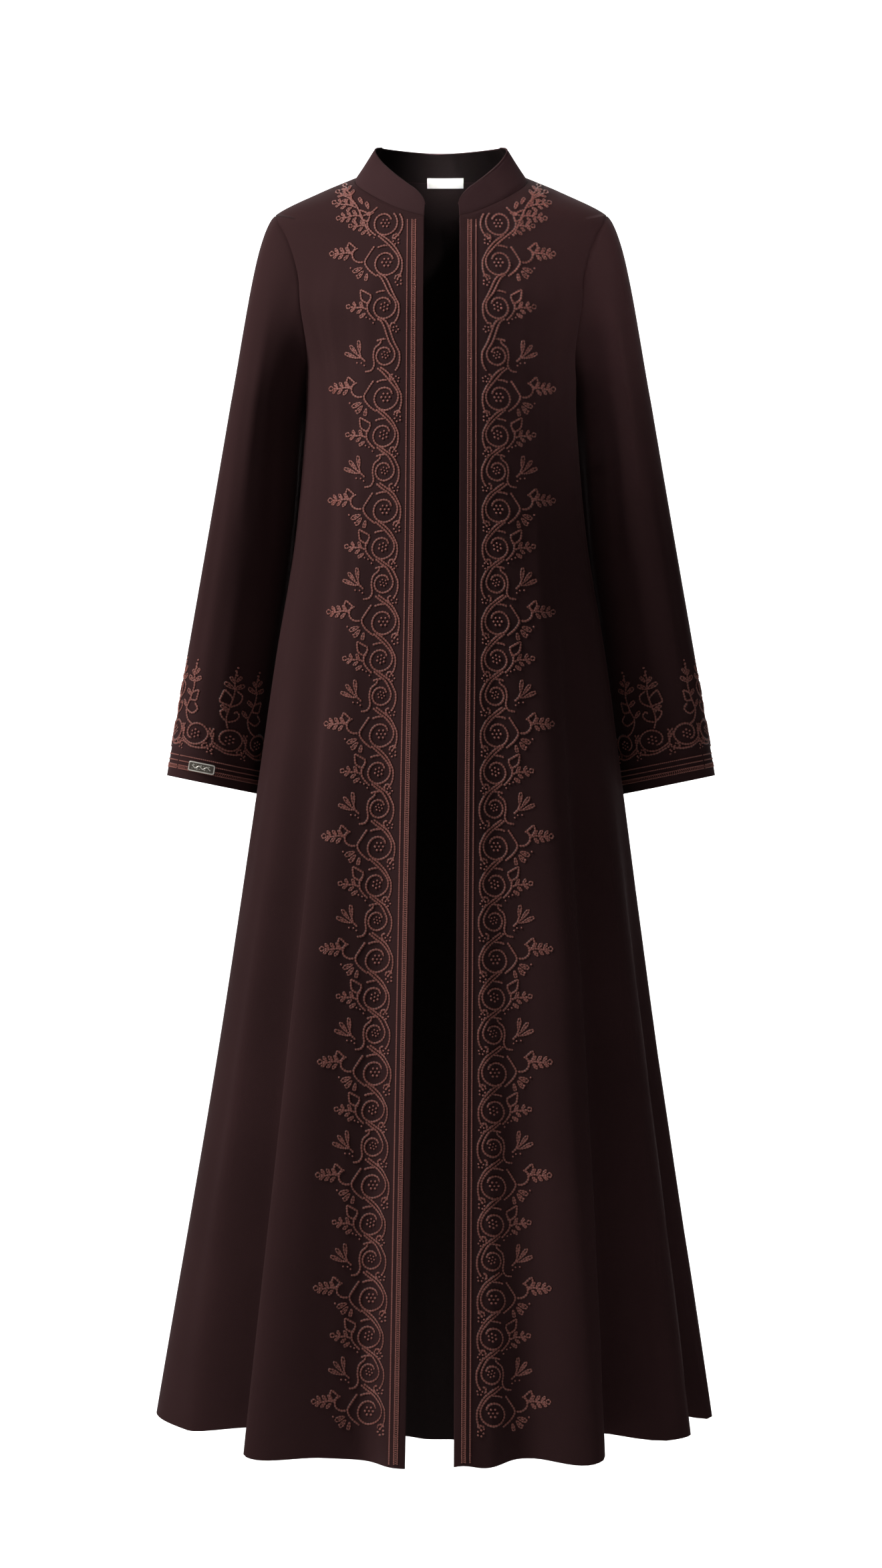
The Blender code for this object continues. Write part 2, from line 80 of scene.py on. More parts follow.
# Collar and its rounded front ends. A stitch line is (distance from the edge, width, depth).
COLLAR_THICKNESS = 2.2
COLLAR_FRONT_WIDTH = 27.0
COLLAR_BACK_WIDTH = 34.0
COLLAR_SIDE_WIDTH = 40.0
COLLAR_CORNER_RUN = 24.0
COLLAR_CORNER_CUT = 13.5
COLLAR_FRONT_GAP = 0.5
COLLAR_BACK_GAP = -0.5
COLLAR_UPRIGHT_RUN = 45.0
COLLAR_LEAN_FRONT = 17.0
COLLAR_LEAN_SIDE = 36.0
COLLAR_LEAN_BACK = 22.0
COLLAR_STITCH = (1.9, 0.7, 0.35)
COLLAR_ROWS = (0.0, 0.02, 0.05, 0.1, 0.2, 0.35, 0.5, 0.65, 0.8, 0.88, 0.925, 0.95, 0.975, 1.0)
NECK_CENTRE_Y = -8.0

# Bare label on the inside of the neck, in rows above and below the collar seam
LABEL_WIDTH = 42.0
LABEL_MIDDLE_X = 5.0
LABEL_ABOVE_SEAM = 6.0
LABEL_BELOW_SEAM = 5.5
LABEL_ROWS_ABOVE = (1.0, 0.97, 0.9, 0.7, 0.45, 0.2)
LABEL_ROWS_BELOW = (0.08, 0.3, 0.5, 0.7, 0.88, 0.96, 1.0)
LABEL_STEPS = 24
LABEL_MARGIN = 12.0
LABEL_FACE_LIFT = 1.25
LABEL_BACK_LIFT = 0.7
LABEL_BULGE = 0.4
LABEL_BULGE_REACH = 9.0
LABEL_STITCH = (1.6, 0.5, 0.25)

# Metal plate near the left sleeve's cuff. Its levels go from its underside over the rim to the
# middle, as (inset, lift), and the last one is a short ridge.
PLATE_SIDE = -1.0
PLATE_LENGTH = 31.5
PLATE_WIDTH = 12.0
PLATE_ANGLE = 72.0
PLATE_ABOVE_CUFF = 17.0
PLATE_CORNER = 2.2
PLATE_LEAST_CORNER = 0.3
PLATE_OUTLINE_STEPS = 96
PLATE_LEVELS = (
    (0.9, 0.32),
    (0.25, 0.32),
    (0.0, 0.55),
    (0.0, 0.95),
    (0.12, 1.25),
    (0.32, 1.42),
    (0.7, 1.47),
    (1.0, 1.42),
    (1.2, 1.2),
    (1.5, 1.12),
    (2.6, 1.12),
    (4.2, 1.14),
    (5.6, 1.15),
)
PLATE_FIELD_LEVEL = 9
PLATE_RIDGE = (8.0, 0.25)
ORNAMENT_LIFT = 1.1
ORNAMENT_RADIUS = 0.34
ORNAMENT_STEP = 0.8
ORNAMENT_HALF_LENGTH = 11.2
ORNAMENT_WAVE_HEIGHT = 1.5
ORNAMENT_WAVE_LENGTH = 9.0

# Level sections through the body
SECTION_COLUMNS = ("height", "half_width", "front_depth", "back_depth", "squareness", "centre_y")
SECTIONS = (
    (12, 65, 38, 48, 2.0, 0),
    (0, 92, 51, 60, 2.0, 0),
    (-20, 140, 70, 75, 1.8, 0),
    (-45, 190, 86, 88, 1.65, 0),
    (-60, 205, 91, 92, 1.6, 0),
    (-90, 210, 103, 100, 1.55, 0),
    (-120, 198, 111, 105, 1.7, 0),
    (-160, 180, 119, 110, 2.0, 0),
    (-225, 156, 123, 116, 2.1, -3),
    (-262, 155, 121, 123, 2.05, -8),
    (-320, 158, 118, 130, 2.0, -13),
    (-410, 166, 117, 136, 2.0, -17),
    (-555, 189, 125, 148, 2.0, -19),
    (-720, 211, 134, 158, 2.1, -18),
    (-1000, 250, 158, 172, 2.2, -10),
    (-1420, 316, 190, 190, 2.2, 0),
    (-1500, 328, 195, 196, 2.2, 0),
)

# Where the two front edges hang, left and right of the middle
EDGE_COLUMNS = ("height", "left_x", "right_x")
FRONT_EDGES = (
    (-45, -20, 22),
    (-400, -22, 21.5),
    (-720, -27.5, 18.8),
    (-1100, -34, 16.5),
    (-1470, -40.5, 14.5),
)

# Folds: top_angle, hem_angle, half_width, depth, start_height, hem_drop
FOLDS = (
    (-60, -62.5, 10, -46, -190, -12),
    (-48, -50, 12, 24, -190, 8),
    (-29, -29, 15, -31, -260, -1),
    (-14, -14, 9, 3, -600, 0),
    (-88, -86, 15, 12, -500, -1),
    (66, 54, 8.5, -38, -230, -14),
    (52, 42, 11, 19, -230, 8),
    (27, 27, 12, -15, -260, -5),
    (10, 7, 8, 3, -600, -4),
    (72, 65, 8, 18, -500, -1),
    (82, 75, 7.5, -41, -650, -14),
    (95, 92, 12, -13, -600, -22),
    (-112, -112, 10, -34, -350, -8),
    (-126, -128, 12, 10, -400, 3),
    (-146, -147, 11, -26, -450, -6),
    (-168, -166, 10, -14, -600, -4),
    (118, 114, 10, -36, -400, -8),
    (133, 131, 11, 10, -400, 3),
    (150, 149, 11, -24, -500, -6),
    (172, 169, 9, 8, -600, 3),
)
FOLD_GROWTH = 1.25
FOLD_LAST_SHARE = 1.2
CREASE_FADE = 0.9

# Soft creases: top_angle, top_height, low_angle, low_height, half_width, depth
DRAPES = (
    (-66, -95, -60, -430, 4.5, -1.8),
    (-57, -70, -52, -520, 4.0, 1.5),
    (-49, -120, -45, -640, 3.5, -1.2),
    (-38, -60, -40, -330, 6.0, 1.2),
    (-72, -260, -74, -620, 5.0, 2.0),
    (-80, -300, -82, -900, 5.0, -2.2),
    (-40, -700, -41, -1380, 5.0, -1.8),
    (-70, -800, -74, -1440, 4.0, 2.2),
    (-22, -900, -23, -1460, 4.0, 1.6),
    (63, -80, 58, -400, 4.5, -1.6),
    (54, -110, 49, -560, 4.0, 1.3),
    (44, -60, 43, -300, 6.0, 1.1),
    (73, -240, 76, -600, 5.0, 2.2),
    (84, -330, 83, -760, 4.5, -2.0),
    (35, -640, 34, -1300, 5.0, -1.6),
    (20, -820, 18, -1460, 4.0, 1.5),
    (47, -900, 46, -1440, 3.5, -1.4),
    (108, -110, 112, -460, 6.0, -2.4),
    (125, -90, 128, -620, 6.0, 1.8),
    (143, -60, 141, -380, 7.0, -1.6),
    (162, -140, 158, -780, 6.0, 1.6),
    (-106, -120, -110, -500, 6.0, -2.2),
    (-122, -80, -124, -560, 6.0, 1.9),
    (-139, -70, -137, -420, 7.0, -1.5),
    (-160, -150, -163, -740, 6.0, 1.7),
    (-100, -620, -101, -1380, 4.0, 2.4),
    (-135, -760, -137, -1430, 4.5, -2.6),
    (-156, -820, -157, -1400, 4.0, 2.2),
    (101, -640, 103, -1400, 4.5, 2.3),
    (124, -740, 122, -1420, 4.0, -2.4),
    (141, -800, 140, -1440, 4.5, 2.6),
    (160, -900, 160, -1400, 4.0, -2.0),
    (178, -300, 179, -1300, 5.0, 1.6),
)

# Rings of the right sleeve below its cap, from its outer line to its inner line
SLEEVE_COLUMNS = ("outer_x", "outer_z", "inner_x", "inner_z", "front_y", "back_y", "lean")
SLEEVE_SECTIONS = (
    (241, -262, 150, -290, -48, 78, 30),
    (266.5, -410, 161, -433, -43, 79, 30),
    (292, -555, 184, -577, -36, 80, 28),
    (315, -687.5, 205, -710, -31, 77, 16),
)
CAP_TOP_PULL = (62, 0, -30)
CAP_UNDERARM_PULL = (9, 27, -45)
CAP_FRONT_SWELL = 14.0
CAP_END_PULL_TOP = (45, 0, -240)
CAP_END_PULL_UNDERARM = (2, 0, -70)
CREASED_INSIDE_FROM = 0.1

# Soft creases of the sleeves: side, top_turn, top_place, low_turn, low_place, half_width, depth.
# A place is 0 at the armhole and 1 at the cuff.
SLEEVE_DRAPES = (
    (-1, 62, 0.10, 70, 0.52, 13, 1.6),
    (-1, 95, 0.16, 112, 0.60, 12, -1.9),
    (-1, 128, 0.04, 138, 0.42, 14, 2.0),
    (-1, 150, 0.10, 152, 0.72, 11, -2.6),
    (-1, 35, 0.40, 44, 0.92, 14, -1.5),
    (-1, 80, 0.55, 88, 0.97, 16, 1.6),
    (-1, 235, 0.10, 228, 0.60, 14, -2.6),
    (-1, 262, 0.18, 258, 0.80, 15, 2.2),
    (-1, 300, 0.12, 306, 0.66, 13, -2.0),
    (-1, 205, 0.30, 200, 0.90, 12, 2.4),
    (1, 58, 0.08, 66, 0.48, 13, 1.5),
    (1, 92, 0.20, 106, 0.64, 12, -1.7),
    (1, 124, 0.05, 134, 0.46, 14, 1.9),
    (1, 148, 0.12, 150, 0.68, 11, -2.5),
    (1, 30, 0.44, 40, 0.94, 14, -1.4),
    (1, 84, 0.58, 92, 0.97, 15, 1.5),
    (1, 238, 0.12, 230, 0.58, 14, -2.4),
    (1, 268, 0.20, 262, 0.84, 15, 2.1),
    (1, 304, 0.10, 310, 0.62, 13, -1.9),
    (1, 208, 0.28, 203, 0.88, 12, 2.2),
)

# How finely the cloth is drawn, and the size of the dip along its seams
FRONT_STEPS = 58
BACK_HALF_STEPS = 60
SHOULDER_STEPS = 16
ARMHOLE_STEPS = 40
SKIRT_STEPS = 120
CAP_STEPS = 24
TUBE_STEPS = 84
SLEEVE_TURN_STEPS = 80
COLLAR_STEP = 3.0
COLLAR_END_DISTANCES = (0.5, 1.2, 2.0)
NECK_STEPS = 80
SEAM_DIP = 0.9
LOW_SEAM_DIP = 0.15
SEAM_DIP_WIDTH = 2.0
SEAM_DIP_HEIGHTS = (-200.0, -130.0)
RIM_BULGE = 0.8
TURNED_OVER = [0, 3, 2, 1]
EDGE_DISTANCES = (0.7, 1.7, 3.2)
PANEL_WIDTH = 200.0

# Embroidery. A row of chain stitches is (distance from the front or cuff edge, width).
THREAD_RADIUS = 0.82
LEAF_RADIUS = 0.62
LEAF_FILLING_HEIGHT = 0.45
KNOT_RADIUS = 1.35
# A thread's section: crown, shoulders and wide flat feet on the cloth. The feet carry painted shade
# round the thread.
THREAD_SECTION = ((0.0, 1.2), (-0.9, 0.66), (-2.5, 0.0), (2.5, 0.0), (0.9, 0.66))
THREAD_SIDES = len(THREAD_SECTION)
THREAD_END_SIZE = 0.45
THREAD_LIFT = 0.1
MOUND_LIFT = 0.05
MOUND_RINGS = 2
MOUND_SIDES = 6
STITCH_LENGTH = 3.2
STITCH_SHAPE = (0.70, 1.0, 0.95)
STITCH_STEP = STITCH_LENGTH / len(STITCH_SHAPE)
LINK_PITCH = 1.95
LINK_OVERLAP = 1.22
LINK_HEIGHT = 0.8
CROSS_PITCH = 2.1
CROSS_RADIUS = 0.42
CROSS_SLANT = 0.3
BRAID_ROWS = ((8.7, 2.3), (12.6, 2.3), (17.9, 2.3))
BRAID_CROSS = (9.3, 12.0)
BRAID_INSET = 1.5
SCROLL_FROM_EDGE = 42.0
SCROLL_SWAY = 1.2
SCROLL_SWAY_TURN = 2.1
SCROLL_TOP = 61.0
SCROLL_LOW = 1438.0
USUAL_SPACING = 43.0
TOP_SPACINGS = (46.0, 51.0, 55.0, 48.0)
SPACINGS = (44.0, 42.5, 40.5)
CUFF_ROWS = ((11.0, 2.3), (14.9, 2.3), (20.5, 2.2), (27.0, 2.2))
CUFF_CROSS = (11.6, 14.0)
CUFF_SCROLL_ABOVE = 57.0
CUFF_SPIRALS = 10
CUFF_START_TURN = 37.8
CUFF_UNIT_SIZE = 1.03
CUFF_STALK_SIZE = 1.27
CUFF_GIRTH_PLACE = 0.93
CREASE_LENGTH = 665.0

# The grid of a front in which places on the cloth are looked up
MAP_ROW_STEP = 3.0
MAP_COLUMN_STEP = 1.5
MAP_START = -3.0
MAP_REACH = 150.0
MAP_BELOW_HEM = 12.0
MAP_ANGLE_STEP = 0.5
MAP_LAST_ANGLE = 88.0

# Crepes: name, dark, light, sheen. The inside crepes are darker copies of the outside ones: painted
# shade on the hollow inside of the body and of the collar.
CREPES = (
    ("crepe", (0.024, 0.0098, 0.0103), (0.052, 0.0222, 0.0232), 0.03),
    ("crepe_painted_shade_inside", (0.008, 0.0048, 0.0048), (0.018, 0.011, 0.0112), 0.01),
    # The collar's crepe is the body's crepe drawn lighter: painted light on the collar
    ("collar_crepe", (0.030, 0.0130, 0.0140), (0.062, 0.029, 0.031), 0.04),
    ("collar_painted_shade_inside", (0.0048, 0.0028, 0.0028), (0.0096, 0.0060, 0.0060), 0.01),
)
# Weave of the crepe: direction, scale, distortion, detail_scale
CREPE_YARNS = (("X", 0.50, 1.6, 1.4), ("Y", 0.46, 1.9, 1.2))
# Metals of the plate: name, dark, light
METALS = (
    ("plate_metal", (0.66, 0.62, 0.55), (0.88, 0.85, 0.79)),
    ("plate_field", (0.10, 0.085, 0.07), (0.17, 0.15, 0.125)),
)

# The output that each kind of node is used for
NODE_OUTPUTS = {
    "ShaderNodeBsdfTransparent": "BSDF",
    "ShaderNodeBump": "Normal",
    "ShaderNodeMapping": "Vector",
    "ShaderNodeMapRange": "Result",
    "ShaderNodeMath": "Value",
    "ShaderNodeMixShader": "Shader",
    "ShaderNodeNewGeometry": "Backfacing",
    "ShaderNodeSeparateXYZ": "Y",
    "ShaderNodeTexCoord": "Object",
    "ShaderNodeTexNoise": "Fac",
    "ShaderNodeTexWave": "Fac",
    "ShaderNodeUVMap": "UV",
    "ShaderNodeValToRGB": "Color",
}

# Camera and studio, in metres
CAMERA_PLACE = (0.0, -8.0, -0.698)
CAMERA_LENS = 160.0
FLOOR_HEIGHT = -1.95
FLOOR_START_Y = -3.5
FLOOR_HALF_WIDTH = 4.5
BACKDROP_Y = 9.6
BACKDROP_TOP = 7.0
SWEEP_RADIUS = 3.0
SWEEP_STEPS = 24
SURROUND_LIT = 0.05
SURROUND_SEEN = 0.9
WHITE = (1.0, 1.0, 1.0)
# Lights: name, place, target, size, watts, tint, spread
LIGHTS = (
    ("key_light", (-2.0, -0.9, 1.3), (0.0, 0.0, -0.35), (0.7, 1.0), 78.0, (1.0, 0.985, 0.97), 180),
    ("fill_light", (1.4, -6.5, 0.2), (0.0, 0.0, -0.8), (2.0, 3.0), 15.0, WHITE, 180),
    ("shoulder_light", (1.1, -2.4, 1.5), (0.22, -0.05, -0.07), (0.3, 0.3), 0.22, WHITE, 8),
    ("label_light", (-0.15, -3.2, 0.5), (0.005, 0.055, 0.008), (0.04, 0.03), 0.028, WHITE, 1.8),
    ("floor_light", (0.0, 4.6, 3.2), (0.0, 5.0, -1.95), (7.0, 3.0), 330.0, WHITE, 180),
    ("backdrop_light", (0.0, 6.6, 2.6), (0.0, 9.6, -0.9), (7.0, 2.0), 360.0, WHITE, 180),
)


def smooth_curve(places, values):
    """A function through the points, cubic and with no overshoot."""
    order = np.argsort(places)
    x = np.array(places, float)[order]
    y = np.array(values, float)[order]
    slopes = np.diff(y) / np.diff(x)
    before, after = slopes[:-1], slopes[1:]
    same_way = before * after > 0
    total = np.where(same_way, before + after, 1.0)
    middle = np.where(same_way, 2.0 * before * after / total, 0.0)
    tangents = np.concatenate([slopes[:1], middle, slopes[-1:]])

    def value(at):
        at = np.asarray(at, float)
        i = np.clip(np.searchsorted(x, at) - 1, 0, len(x) - 2)
        step = x[i + 1] - x[i]
        t = np.clip((at - x[i]) / step, 0.0, 1.0)
        rise = t * t * (3.0 - 2.0 * t)
        return (
            y[i] * (1.0 - rise)
            + y[i + 1] * rise
            + step * tangents[i] * t * (1.0 - t) ** 2
            - step * tangents[i + 1] * t * t * (1.0 - t)
        )

    return value


def table_curves(columns, rows):
    """One smooth function of the first column for each other column of a table."""
    by_column = list(zip(*rows))
    return {name: smooth_curve(by_column[0], by_column[k]) for k, name in enumerate(columns) if k}


BODY = table_curves(SECTION_COLUMNS, SECTIONS)
EDGE = table_curves(EDGE_COLUMNS, FRONT_EDGES)
SLEEVE_PLACES = np.linspace(0.0, 1.0, len(SLEEVE_SECTIONS))
SLEEVE = {
    name: smooth_curve(SLEEVE_PLACES, column)
    for name, column in zip(SLEEVE_COLUMNS, zip(*SLEEVE_SECTIONS))
}
SLEEVE_LENGTH = SLEEVE_SECTIONS[0][1] - SLEEVE_SECTIONS[-1][1]


def unit(vectors):
    return vectors / np.linalg.norm(vectors, axis=-1, keepdims=True)


def directions(heading):
    """The flat directions ahead and aside of a heading."""
    turn = np.radians(heading)
    ahead = np.array([np.cos(turn), np.sin(turn)])
    return ahead, np.array([-ahead[1], ahead[0]])


def cells(grid):
    """The corners of each cell of a grid: its own place, the next row, both, the next column."""
    corners = np.stack([grid[:-1, :-1], grid[1:, :-1], grid[1:, 1:], grid[:-1, 1:]], axis=2)
    return corners.reshape(-1, *corners.shape[2:])


def closed_round(grid):
    """The grid with its first column once more at its end."""
    return np.concatenate([grid, grid[:, :1]], axis=1)


def bell(offset):
    """A bump of height 1 that dies out at -1 and 1."""
    return np.where(np.abs(offset) < 1.0, 0.5 + 0.5 * np.cos(np.pi * offset), 0.0)


def angle_between(angle, other):
    return (angle - other + 180.0) % 360.0 - 180.0


def crease(across, along, row):
    """How far one soft crease lifts the cloth, across and along it."""
    start_across, start, end_across, end, half_width, depth = row
    share = np.clip((along - start) / (end - start), 0.0, 1.0)
    middle = start_across + (end_across - start_across) * share
    offset = angle_between(across, middle) / half_width
    return depth * np.sin(np.pi * share) ** CREASE_FADE * bell(offset)


def fold_rise(angle, height):
    """How far the folds and the soft creases push the cloth out of its plain section."""
    rise = np.zeros(np.broadcast(angle, height).shape)
    for top_angle, hem_angle, half_width, depth, start, _ in FOLDS:
        share = np.clip((start - height) / (start - FRONT_HEM_HEIGHT), 0.0, FOLD_LAST_SHARE)
        middle = top_angle + (hem_angle - top_angle) * share
        rise += depth * share**FOLD_GROWTH * bell(angle_between(angle, middle) / half_width)
    for row in DRAPES:
        rise += crease(angle, height, row)
    return rise


def body_radius(angle, height):
    """Distance of the cloth's outer face from the polar centre of its section."""
    sine = np.abs(np.sin(np.radians(angle)))
    cosine = np.cos(np.radians(angle))
    power = BODY["squareness"](height)
    depth = np.where(cosine > 0.0, BODY["front_depth"](height), BODY["back_depth"](height))
    across = (sine / BODY["half_width"](height)) ** power
    along = (np.abs(cosine) / depth) ** power
    return (across + along) ** (-1.0 / power) + fold_rise(angle, height)


def body_point(angle, height):
    angle, height = np.broadcast_arrays(np.asarray(angle, float), np.asarray(height, float))
    radius = body_radius(angle, height)
    x = radius * np.sin(np.radians(angle))
    y = BODY["centre_y"](height) - radius * np.cos(np.radians(angle))
    return np.stack([x, y, height], axis=-1)


def body_normal(angle, height):
    """The outward direction of the body's surface."""
    angle_step, height_step = 0.4, 1.5
    round_the_body = body_point(angle + angle_step, height) - body_point(angle - angle_step, height)
    up = body_point(angle, height + height_step) - body_point(angle, height - height_step)
    return unit(np.cross(round_the_body, up))


def neck_height(angle):
    drop = np.where(np.abs(angle) < SIDE_ANGLE, FRONT_NECK_DROP, BACK_NECK_DROP)
    return -drop * np.abs(np.cos(np.radians(angle))) ** NECK_ROUNDNESS


def hem_height(angle):
    lowest = np.where(np.abs(angle) < SIDE_ANGLE, FRONT_HEM_HEIGHT, BACK_HEM_HEIGHT)
    plain = SIDE_HEM_HEIGHT + (lowest - SIDE_HEM_HEIGHT) * np.abs(np.cos(np.radians(angle)))
    for _, hem_angle, half_width, _, _, drop in FOLDS:
        plain = plain - drop * bell(angle_between(angle, hem_angle) / half_width)
    return plain


def half_seam_angle(height):
    """Half of a seam's gap, as an angle at the side of the body."""
    return np.degrees(0.5 * SEAM_GAP / BODY["half_width"](height))


def front_edge_x(side, height):
    return EDGE["left_x" if side < 0 else "right_x"](height)


def inner_angle(side, face, height):
    """The angle of a half panel's inner edge: the front edge, or the middle of the back."""
    if face == "back":
        return side * CENTRE_BACK_ANGLE + 0.0 * height
    return np.degrees(np.arctan2(front_edge_x(side, height), BODY["front_depth"](height)))


def side_angle(side, face, height):
    away = -1.0 if face == "front" else 1.0
    return side * (SIDE_ANGLE + away * half_seam_angle(height))


def armhole_turn(turn):
    """Height and spread share round the armhole: turn 0 is the shoulder and 180 the underarm."""
    turn = np.radians(turn)
    middle = 0.5 * (SHOULDER_TIP_HEIGHT + UNDERARM_HEIGHT)
    half = 0.5 * (SHOULDER_TIP_HEIGHT - UNDERARM_HEIGHT)
    return middle + half * np.cos(turn), np.sin(turn) * (1.0 - ARMHOLE_SCOOP * np.cos(turn))


def armhole_domain(side, face, turn):
    height, share = armhole_turn(turn)
    spread = ARMHOLE_SPREAD_FRONT if face == "front" else ARMHOLE_SPREAD_BACK
    toward_middle = -1.0 if face == "front" else 1.0
    return side_angle(side, face, height) + side * toward_middle * spread * share, height


def outer_boundary(side, face):
    """Angles and heights down the shoulder seam and then round the armhole to the underarm."""
    seam_heights = np.linspace(0.0, SHOULDER_TIP_HEIGHT, SHOULDER_STEPS + 1)[:-1]
    seam_angles = side_angle(side, face, seam_heights)
    turns = np.linspace(0.0, 180.0, ARMHOLE_STEPS + 1)
    armhole_angles, armhole_heights = armhole_domain(side, face, turns)
    return (
        np.concatenate([seam_angles, armhole_angles]),
        np.concatenate([seam_heights, armhole_heights]),
    )


def edge_spaced(steps, near_start, near_end, width):
    """Shares from 0 to 1, with a few more close to the edges that are seams or hems."""
    shares = list(np.linspace(0.0, 1.0, steps + 1))
    for distance in EDGE_DISTANCES:
        if near_start:
            shares.append(distance / width)
        if near_end:
            shares.append(1.0 - distance / width)
    return np.unique(np.round(shares, 6))


def half_panel(side, face, columns):
    """Angles and heights of a half panel: rows run down, columns from its inner edge out."""
    u = edge_spaced(columns, face == "front", True, PANEL_WIDTH)[None, :]
    rows = SHOULDER_STEPS + ARMHOLE_STEPS
    v = edge_spaced(rows, True, False, -UNDERARM_HEIGHT)[:, None]

    neck_start = inner_angle(side, face, np.array(-FRONT_NECK_DROP))
    top_angles = neck_start + (side_angle(side, face, 0.0) - neck_start) * u
    top_heights = neck_height(top_angles)
    inner_heights = top_heights[0, 0] + (UNDERARM_HEIGHT - top_heights[0, 0]) * v
    inner_angles = inner_angle(side, face, inner_heights)
    boundary_v = np.linspace(0.0, 1.0, rows + 1)
    outer_angles, outer_heights = (
        np.interp(v[:, 0], boundary_v, line)[:, None] for line in outer_boundary(side, face)
    )
    low_angles = inner_angles[-1, 0] + (outer_angles[-1, 0] - inner_angles[-1, 0]) * u
    low_heights = UNDERARM_HEIGHT + 0.0 * u

    def filled(inner, outer, top, low):
        """The patch between four boundary lines."""
        across = (1.0 - u) * inner + u * outer
        down = (1.0 - v) * top + v * low
        corners = (
            (1.0 - u) * (1.0 - v) * top[0, 0]
            + u * (1.0 - v) * top[0, -1]
            + (1.0 - u) * v * low[0, 0]
            + u * v * low[0, -1]
        )
        return across + down - corners

    upper_angles = filled(inner_angles, outer_angles, top_angles, low_angles)
    upper_heights = filled(inner_heights, outer_heights, top_heights, low_heights)

    skirt_length = UNDERARM_HEIGHT - FRONT_HEM_HEIGHT
    share = edge_spaced(SKIRT_STEPS, False, True, skirt_length)[1:, None]
    level = UNDERARM_HEIGHT + share * (FRONT_HEM_HEIGHT - UNDERARM_HEIGHT)
    skirt_inner = inner_angle(side, face, level)
    skirt_angles = skirt_inner + (side_angle(side, face, level) - skirt_inner) * u
    skirt_heights = UNDERARM_HEIGHT + share * (hem_height(skirt_angles) - UNDERARM_HEIGHT)
    return (
        np.concatenate([upper_angles, skirt_angles]),
        np.concatenate([upper_heights, skirt_heights]),
    )


def run_lengths(points, axis):
    """Lengths along the grid's lines from their first points."""
    steps = np.linalg.norm(np.diff(points, axis=axis), axis=-1)
    start = np.zeros_like(np.take(steps, [0], axis=axis))
    return np.concatenate([start, np.cumsum(steps, axis=axis)], axis=axis)


def groove(distance, middle, width, depth):
    return depth * np.exp(-(((distance - middle) / width) ** 2))


def seam_dip(distance, height):
    """How deep the cloth sinks this far from a seam. Below the armholes a seam hardly sinks."""
    depth = np.interp(height, SEAM_DIP_HEIGHTS, (LOW_SEAM_DIP, SEAM_DIP))
    return groove(distance, 0.0, SEAM_DIP_WIDTH, depth)


def body_sheet(side, face, columns):
    """The outer and inner faces of a half panel, and its cloth coordinates in millimetres."""
    angles, heights = half_panel(side, face, columns)
    outer = body_point(angles, heights)
    normals = body_normal(angles, heights)
    across = run_lengths(outer, 1)
    down = run_lengths(outer, 0)
    dip = seam_dip(across[:, -1:] - across, outer[..., 2]) + seam_dip(down, outer[..., 2])
    sunk = outer - np.minimum(dip, SEAM_DIP)[..., None] * normals
    coordinates = np.stack([side * across, -down], axis=-1)
    return sunk, outer - CLOTH_THICKNESS * normals, coordinates


def armhole_ring(side, turns, value_at):
    """Points or normals of the body round the armhole seam, from the front on to the back."""
    face_turns = np.where(turns <= 180.0, turns, 360.0 - turns)
    front = value_at(*armhole_domain(side, "front", face_turns))
    back = value_at(*armhole_domain(side, "back", face_turns))
    return np.where((turns <= 180.0)[:, None], front, back)


def sleeve_ring(side, turns, place):
    """A ring of the sleeve below its cap: turn 0 is its outer line and 90 its front."""
    turns, place = np.broadcast_arrays(np.asarray(turns, float), np.asarray(place, float))
    turn = np.radians(turns)

    def between(name, other, swing):
        """From one line of the sleeve, at a swing of 1, to another, at -1."""
        one, other = SLEEVE[name](place), SLEEVE[other](place)
        return 0.5 * (one + other) + 0.5 * (one - other) * swing

    x = between("outer_x", "inner_x", np.cos(turn))
    y = between("front_y", "back_y", np.sin(turn)) - SLEEVE["lean"](place) * np.cos(turn)
    z = between("outer_z", "inner_z", np.cos(turn))
    return np.stack([side * x, y, z], axis=-1)


def sleeve_place(side, turn, place):
    """A point of the sleeve below its cap, and the outward direction there."""
    turn_step, place_step = 0.5, 0.002
    before, after = (sleeve_ring(side, turn + step, place) for step in (-turn_step, turn_step))
    above, below = (sleeve_ring(side, turn, place + step) for step in (-place_step, place_step))
    outward = side * unit(np.cross(after - before, below - above))
    return sleeve_ring(side, turn, place), outward


def under_share(turns):
    """0 on the sleeve's outer line and 1 on its line under the arm."""
    return 0.5 - 0.5 * np.cos(np.radians(turns))


def cap_pull(side, turns, at_top, at_underarm):
    """A direction that turns smoothly from the top of the sleeve to its underarm."""
    toward_top = (0.5 + 0.5 * np.cos(np.radians(turns)))[:, None]
    pull = toward_top * np.array(at_top) + (1.0 - toward_top) * np.array(at_underarm)
    return pull * np.array([side, 1.0, 1.0])


def sleeve_rings(side, turns):
    """All rings of a sleeve, from the armhole to the cuff."""
    start_pull = cap_pull(side, turns, CAP_TOP_PULL, CAP_UNDERARM_PULL)
    start_pull[:, 1] -= CAP_FRONT_SWELL * np.sin(np.radians(turns))
    end_pull = cap_pull(side, turns, CAP_END_PULL_TOP, CAP_END_PULL_UNDERARM)
    start = armhole_ring(side, turns, body_point) + ARMHOLE_GAP * unit(start_pull)
    stand_off = UNDERARM_STAND_OFF * under_share(turns)[:, None]
    start += stand_off * armhole_ring(side, turns, body_normal)
    end = sleeve_ring(side, turns, 0.0)
    rings = []
    for t in edge_spaced(CAP_STEPS, True, False, -UNDERARM_HEIGHT):
        rise = t * t * (3.0 - 2.0 * t)
        ring = start * (1.0 - rise) + end * rise
        ring += start_pull * t * (1.0 - t) ** 2 - end_pull * t * t * (1.0 - t)
        rings.append(ring)
    for place in edge_spaced(TUBE_STEPS, False, True, SLEEVE_LENGTH)[1:]:
        rings.append(sleeve_ring(side, turns, place))
    return np.array(rings)


